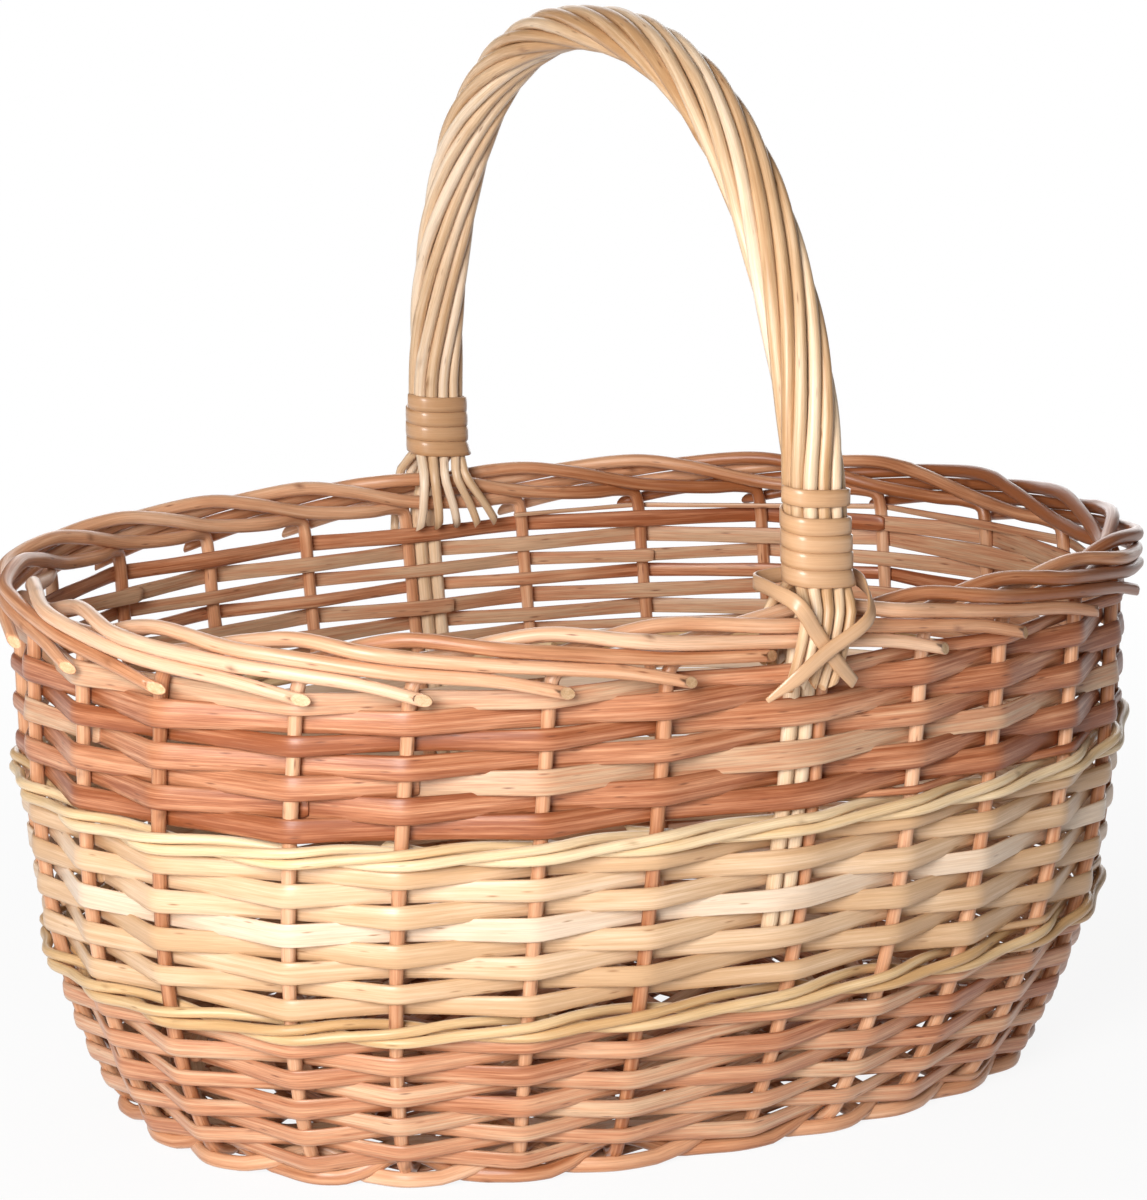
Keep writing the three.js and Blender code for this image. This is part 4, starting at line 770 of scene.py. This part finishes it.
# Strand's girth by the distance from its nearer end, its scatter and its tones, with painted shade on the
# top of the arch
GIRTH_AT, GIRTH, NECK_GIRTH = [0.0, 30.0, 55.0], [0.74, 0.84, 1.0], 0.84
STRAND_START, STRAND_END, FOOT_SCATTER = (0.94, 1.05), (0.88, 1.0), 1.5
STRAND_TONES, TOP_SHADE, TOP_SHADE_FROM, TOP_SHADE_RUN = (0.15, 0.85), 0.2, 350.0, 60.0
BACK_TONE, BACK_RUN = 0.3, 120.0


# Place on the ring counted in strands from the middle of its outer side: out, sideways, turn
def ring_place(order):
    length = order * 2 * RING_HALF / STRAND_COUNT % (2 * RING_HALF)
    side = np.where(length > RING_HALF, -1.0, 1.0)
    length = np.minimum(length, 2 * RING_HALF - length)
    turn = np.clip((length - RING_FLAT) / RING_RADIUS, 0, math.pi)
    flat = np.minimum(np.minimum(length, RING_FLAT), RING_HALF - length)
    return RING_RADIUS * np.cos(turn), side * (flat + RING_RADIUS * np.sin(turn)), turn


# Place of a strand between its splayed run over the border (0) and the ring (1)
def gathered(order, part):
    out, x, turn = (float(value) for value in ring_place(order))
    is_outer = turn < math.pi / 2
    near = (order + STRAND_COUNT // 2 - 1) % STRAND_COUNT - STRAND_COUNT // 2 + 1
    place = near if is_outer else (STRAND_COUNT // 2 if near > 0 else -STRAND_COUNT // 2) - near
    side = 1 if is_outer else -1
    return lerp(side * SPLAY_OUT, out, part), lerp(place * SPLAY_STEP, x, part), place, side


def strand_foot(order, is_front):
    outward = np.array([0, -1.0 if is_front else 1.0, 0])
    out, x, place, side = gathered(order, 0)
    wide = side < 0 and not is_front
    rise = OUTER_FOOT_RISE if side > 0 else INNER_FOOT_RISE
    foot_out = side * (OUTER_FOOT_OUT if side > 0 else INNER_FOOT_OUT)
    foot_x = WIDE_FOOT_X + place * WIDE_FOOT_STEP if wide else FOOT_X + place * FOOT_STEP
    splay_x = leg_centre(WALL_HEIGHT + SPLAY_RISE, is_front)[0] + x
    points = []
    foot_rise = rise + chance.uniform(-FOOT_SCATTER, FOOT_SCATTER)
    for height, reach in ((foot_rise, foot_out), (BEND_RISE, out)):
        centre = leg_centre(WALL_HEIGHT + height, is_front) + outward * reach
        centre[0] = lerp(foot_x, splay_x, (height - rise) / (SPLAY_RISE - rise))
        points.append(centre)
    for part in (0, 1 / 3, 2 / 3):
        out, x, _, _ = gathered(order, part)
        centre = leg_centre(WALL_HEIGHT + lerp(SPLAY_RISE, NECK_RISE, part), is_front)
        points.append(centre + outward * out + SIDEWAYS * x)
    return points


for number in range(STRAND_COUNT):
    part = np.clip((arch_at - TWIST_START) / (arch_at[-1] - 2 * TWIST_START), 0, 1)
    out, x, _ = ring_place(number + STRAND_COUNT * STRAND_TWIST * part)
    body = arch + arch_outward * out[:, None] + SIDEWAYS * x[:, None]
    last = number + round(STRAND_COUNT * STRAND_TWIST)
    points = np.vstack([strand_foot(number, True), body[::2], strand_foot(last, False)[::-1]])
    path = spline(points, HANDLE_STEP)
    at = arc_lengths(path)
    girth = np.interp(np.minimum(at, at[-1] - at), GIRTH_AT, GIRTH)
    taper = np.linspace(chance.uniform(*STRAND_START), chance.uniform(*STRAND_END), len(path))
    radius = STRAND_RADIUS * girth * taper
    piece = Piece(f"handle_strand_{number + 1}", "rod")
    # Painted shade: the strands are darker at the top of the arch, which faces up, away from the key lamp
    tone = chance.uniform(*STRAND_TONES) - TOP_SHADE * np.clip((path[:, 2:] - TOP_SHADE_FROM) / TOP_SHADE_RUN, 0, 1)
    tone = tone + BACK_TONE * np.clip(path[:, 1:2] / BACK_RUN, 0, 1)
    piece.rod(path, radius, tone, sides=14, slant=(0.9, 0.9), knots=110, waver=0.3)
    piece.finish("handle_willow", handle_rod, cut_brown)


# Bindings: flat cane wound round the neck, with straight sides and round ends like the ring
def neck_reach(height):
    part = np.clip((height - WALL_HEIGHT - SPLAY_RISE) / (NECK_RISE - SPLAY_RISE), 0, 1)
    reach = 0.0
    for number in range(STRAND_COUNT):
        out, x, _, _ = gathered(number, part)
        reach = max(reach, math.hypot(max(abs(x) - RING_FLAT, 0), out))
    return reach + STRAND_RADIUS * lerp(NECK_GIRTH, 1, part)


TURN_SAMPLES, CANE_GAP, CANE_TONE, LASHING_TONE = 44, 0.4, 0.55, 0.75
CANE_WOBBLE, WOBBLES, CORNER = 0.12, 11, 1.6
HALF_REACH = 0.3 * CANE_WIDTH
for node, is_front, turns, gap in (("front_binding", True, FRONT_TURNS, FRONT_GAP),
                                   ("back_binding", False, BACK_TURNS, 0.0)):
    done = np.linspace(0, turns, round(TURN_SAMPLES * turns) + 1)
    height = WALL_HEIGHT + CANE_RISE + CANE_PITCH * done + gap * np.clip(done - turns + 1, 0, 0.5) * 2
    low, high = (np.array([neck_reach(value + side * HALF_REACH) for value in height]) for side in (-1, 1))
    ring = (low + high + CANE_THICKNESS) / 2 + CANE_GAP + CANE_WOBBLE * np.sin(done * WOBBLES)
    turn = TURN * (done % 1)
    outward = np.stack([np.sin(turn), np.cos(turn), np.zeros_like(turn)], -1)
    middle = RING_FLAT * np.clip(CORNER * np.sin(turn), -1, 1)
    centre = leg_centre(height, is_front) + SIDEWAYS * middle[:, None] + outward * ring[:, None]
    lean = ((low - high) / (2 * HALF_REACH))[:, None]
    across = unit(UP - outward * lean)
    piece = Piece(node, "cane")
    piece.strip(centre, across, unit(outward + UP * lean), CANE_WIDTH, CANE_THICKNESS, CANE_TONE, FLAT)
    piece.finish("cane", cane, cane)

# Lashing: crossed over the splayed strands and round the neck.
# Each point gives x from the leg's middle in half widths, distance out and rise above the wall.
LASHING_NEAR = SPLAY_OUT + STRAND_SIZE / 2 + 2 * CLEARANCE + CANE_THICKNESS / 2
LASHING_FAR = LASHING_NEAR + CANE_THICKNESS + 2 * CLEARANCE
LASHING_RUN = np.array([
    (0.77, 0.82 * LASHING_NEAR, -LASHING_DROP),
    (0.3, LASHING_NEAR, 0),
    (-0.26, LASHING_NEAR, 0.43 * LOOP_RISE),
    (-0.82, LASHING_NEAR, 0.87 * LOOP_RISE),
    (-1, 0, LOOP_RISE),
    (-0.8, -LASHING_FAR, LOOP_RISE),
    (0.8, -LASHING_FAR, LOOP_RISE),
    (1, 0, 0.96 * LOOP_RISE),
    (0.76, LASHING_FAR, 0.6 * LOOP_RISE),
    (0, LASHING_FAR, 0.2 * LOOP_RISE),
    (-0.5, 0.95 * LASHING_FAR, -0.1 * LOOP_RISE),
    (-1.1, 0.7 * LASHING_FAR, -1.3 * LASHING_DROP),
]) * [LASHING_HALF, 1, 1]
LASHING_STEP, START_WIDTH, START_SAMPLES, END_WIDTH, END_SAMPLES = 2.0, 0.85, 6, 0.35, 7
run = spline(LASHING_RUN, LASHING_STEP)
path = leg_centre(WALL_HEIGHT + run[:, 2], True) + run * [1, -1, 0]
tangent = unit(np.gradient(path, axis=0))
away = unit(np.stack([run[:, 0] / 4, -run[:, 1], np.zeros(len(run))], -1))
through = unit(away - tangent * np.sum(away * tangent, -1, keepdims=True))
last = len(run) - 1
width = LASHING_WIDTH * np.interp(np.arange(len(run)), [0, START_SAMPLES, last - END_SAMPLES, last],
                                  [START_WIDTH, 1, 1, END_WIDTH])
piece = Piece("front_lashing", "cane")
piece.strip(path, np.cross(tangent, through), through, width, CANE_THICKNESS, LASHING_TONE, FLAT)
piece.finish("cane", cane, cane)

# Base: long sticks, weavers; the short sticks keep their slotted solids with rounded edges
inner_growth = (profile_out[0] - ROW_GAP) / SPREAD
base_half = lerp(BASE, MOUTH, inner_growth) / 2 - BASE_MARGIN
stick_height = profile_height[0]
long_bundle = (LONG_STICKS - 1) * LONG_STICK_SPACING + LONG_STICK_SIZE
short_x = np.linspace(-1, 1, SHORT_STICKS) * SHORT_STICK_SHARE * base_half[0]
fan_start = short_x[-1] + STICK_SIZE
middle_stick = (LONG_STICKS - 1) / 2


def oval_y(half, x):
    return half[1] * (1 - (abs(x) / half[0]) ** OVAL_POWER) ** (1 / OVAL_POWER)


def fan_point(number, end, distance):
    turn = (number - middle_stick) * FAN_ANGLE
    x = end * (fan_start + distance * math.cos(turn))
    y = (number - middle_stick) * LONG_STICK_SPACING + distance * math.sin(turn)
    return np.array([x, y, stick_height])


def fan_length(number):
    half = base_half - LONG_STICK_SIZE / 2
    distance = 0.0
    while True:
        x, y, _ = fan_point(number, 1, distance)
        if x >= half[0] or abs(y) >= oval_y(half, x):
            return distance
        distance += LONG_STICK_SIZE / 4


STICK_PARTS, STICK_STEP, STICK_EXTRA, STICK_TONES = (8, 16, 8), 4.0, 0.1, (0.2, 0.8)
for number in range(LONG_STICKS):
    reach = fan_length(number)
    ends = ((-1, reach), (-1, 0), (1, 0), (1, reach))
    points = [fan_point(number, end, distance) for end, distance in ends]
    line = points[:1]
    for start, end, parts in zip(points, points[1:], STICK_PARTS):
        line += list(lerp(start, end, np.linspace(0, 1, parts + 1)[1:, None]))
    piece = Piece(f"base_long_stick_{number + 1}", "rod")
    radius = LONG_STICK_SIZE / 2 + STICK_EXTRA
    piece.rod(spline(line, STICK_STEP), radius, chance.uniform(*STICK_TONES), waver=0.0)
    piece.finish("rod_willow_brown", brown_rod, cut_brown)


# Stretches of stick that the base weavers cross: inner and outer point, size, nearest neighbour
def short_part(number, side):
    x = short_x[number]
    reaches = (long_bundle / 2 + CLEARANCE, oval_y(base_half, x))
    inner, outer = (np.array([x, side * y, stick_height]) for y in reaches)
    return inner, outer, STICK_SIZE, short_x[1] - short_x[0]


def long_part(number, end):
    inner, outer = (fan_point(number, end, distance) for distance in (FAN_START, fan_length(number)))
    return inner, outer, LONG_STICK_SIZE, LONG_STICK_SPACING + FAN_CLEAR * FAN_ANGLE


# Once round the base, with the fans at both ends
shorts, longs = range(SHORT_STICKS), range(LONG_STICKS)
crossings = [long_part(number, 1) for number in longs]
crossings += [short_part(number, 1) for number in reversed(shorts)]
crossings += [long_part(number, -1) for number in reversed(longs)]
crossings += [short_part(number, -1) for number in shorts]
rows_in_all = 2 * BASE_ROUNDS
CLIMB, ROW_WIDTH, WEAVER_TONE, WEAVER_WAVE, WEAVER_LENGTH = 4, 1.05, 0.5, 0.4, 70.0
for start in (0, 1):
    keys = []
    for count in range(BASE_ROUNDS * len(crossings) - 1):
        done, place = divmod(count, len(crossings))
        inner, outer, size, closest = crossings[place]
        lift = (size / 2 + 3 * CLEARANCE + BASE_STRIP / 2) / (1 - size / closest)
        climb = max(place - len(crossings) + CLIMB, 0) / CLIMB
        row = min(2 * (done + climb) + start + 0.5, rows_in_all - 0.5)
        centre = lerp(inner, outer, row / rows_in_all) + UP * (lift if (count + start) % 2 == 0 else -lift)
        width = ROW_WIDTH * np.linalg.norm(outer - inner) / rows_in_all
        keys.append(np.concatenate([centre, unit(outer - inner), [width]]))
    _, at, run = resample(np.array(keys), ROD_STEP)
    centre, across = soften(run[:, :3], 2), unit(soften(run[:, 3:6], 2))
    piece = Piece(f"base_weaver_{start + 1}", "strip")
    tone = WEAVER_TONE + WEAVER_WAVE * np.sin(at / WEAVER_LENGTH + start)
    piece.strip(centre, across, np.tile(UP, (len(at), 1)), run[:, 6], BASE_STRIP, tone[:, None], SPLIT)
    piece.finish("split_willow_brown", brown_strip, brown_strip)


# Short sticks: grain along y in the solid's own coordinates
STICK_COLOURS, STICK_DARK = [(160, 94, 56), (192, 126, 84), (213, 150, 107)], (86, 47, 26)
STICK_STREAKS, STICK_LINES = (420, 22, 420), (1900, 70, 1900)
STICK_ROUGHNESS, STICK_BUMP, STICK_BEVEL = (0.58, 0.44), 0.3, 0.0012
g = Graph(bpy.data.materials.new("base_stick_willow"))
place = g.add("TexCoord").outputs["Object"]
streaks = g.noise(place, STICK_STREAKS, 4.0, 0.6)
lines = g.noise(place, STICK_LINES, 2.0)
colour = g.ramp(streaks, STICK_COLOURS)
g.shade(g.mix(g.ranged(lines, *LINE_NOISE, LINE_SHARE, 0.0), colour, linear(*STICK_DARK)), "Base Color")
g.shade(g.ranged(streaks, *NOISE, *STICK_ROUGHNESS), "Roughness")
raised = g.add("Bump", {"Strength": STICK_BUMP, "Distance": BUMP_DEPTH, "Height": streaks})
g.shade(raised.outputs[0], "Normal")
for number in range(SHORT_STICKS):
    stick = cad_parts[f"base_short_stick_{number + 1}"]
    stick.data.materials.clear()
    stick.data.materials.append(g.owner)
    bevel = stick.modifiers.new("rounded", "BEVEL")
    bevel.width, bevel.segments, bevel.limit_method = STICK_BEVEL, 3, "ANGLE"

# Floor in metres: pale, seen as white far off, with the basket's shadow near it
WHITE, FLOOR_GREY, FLOOR_ROUGHNESS = (1, 1, 1, 1), (0.85, 0.85, 0.85, 1), 0.9
FLOOR_HALF, FADE_FROM, FADE_TO, NEAR_WHITE = 30.0, 0.3, 1.0, 0.9
g = Graph(bpy.data.materials.new("floor"))
g.shade(FLOOR_GREY, "Base Color")
g.shade(FLOOR_ROUGHNESS, "Roughness")
g.shade(0.0, "Specular IOR Level")
white = g.add("Emission", {"Color": WHITE, "Strength": 1.0})
rays = g.add("LightPath").outputs
seen = g.maths("ADD", rays["Is Camera Ray"], rays["Is Glossy Ray"], True)
place = g.add("TexCoord").outputs["Object"]
distance = g.add("VectorMath", {0: place}, operation="LENGTH").outputs["Value"]
share = g.maths("MULTIPLY", seen, g.ranged(distance, FADE_FROM, FADE_TO, NEAR_WHITE, 1.0))
both = g.add("MixShader", {0: share, 1: g.shader.outputs[0], 2: white.outputs[0]})
g.surface(both, "Material Output")
floor_mesh = bpy.data.meshes.new("floor")
corners = [(x * FLOOR_HALF, y * FLOOR_HALF, 0) for x, y in ((-1, -1), (1, -1), (1, 1), (-1, 1))]
floor_mesh.from_pydata(corners, [], [(0, 1, 2, 3)])
floor_mesh.materials.append(g.owner)
floor = show("floor", floor_mesh)

# White behind the basket, dim light all round
AMBIENT = 0.16
g = Graph(bpy.data.worlds.new("studio"), "Background")
g.shade(WHITE, "Color")
g.shade(AMBIENT, "Strength")
backdrop = g.add("Background", {"Color": WHITE})
seen = g.add("LightPath").outputs["Is Camera Ray"]
both = g.add("MixShader", {0: seen, 1: g.shader.outputs[0], 2: backdrop.outputs[0]})
g.surface(both, "World Output")
scene.world = g.owner


# Disk lamps: place, target and size in metres, power in watts
def lamp(name, place, target, size, power):
    light = bpy.data.lights.new(name, "AREA")
    light.shape, light.size, light.energy = "DISK", size, power
    shown = show(name, light)
    shown.location = place
    shown.visible_camera = False
    shown.rotation_mode = "QUATERNION"
    shown.rotation_quaternion = Vector(np.subtract(target, place)).to_track_quat("-Z", "Y")


lamp("key", (-1.05, -1.0, 0.68), (-0.05, 0, 0.2), 0.75, 29.8)
lamp("top", (-0.6, 0.0, 2.6), (0, 0, 0.2), 1.6, 1.5)
lamp("fill", (1.0, 1.5, 0.55), (0, 0, 0.15), 1.8, 20)

# Camera fitted to the photograph: focal length in its pixels, axes, and place in millimetres
PHOTO_HEIGHT, FOCAL_LENGTH, SENSOR, CLIP_END = 1200, 4140.18, 36, 100
camera_data = bpy.data.cameras.new("camera")
camera_data.lens = FOCAL_LENGTH * SENSOR / PHOTO_HEIGHT
camera_data.sensor_width = SENSOR
camera_data.clip_end = CLIP_END
camera = show("camera", camera_data)
right = np.array([0.885314, -0.464952, -0.006196])
upward = np.array([0.101759, 0.180724, 0.978256])
forward = np.array([0.453722, 0.866694, -0.207311])
place = (np.array([-749.45, -1426.12, 534.0]) + SHIFT) / 1000
pose = np.eye(4)
pose[:3] = np.stack([right, upward, -forward, place], -1)
camera.matrix_world = Matrix(pose.tolist())
scene.camera = camera
scene.view_settings.view_transform = "Standard"
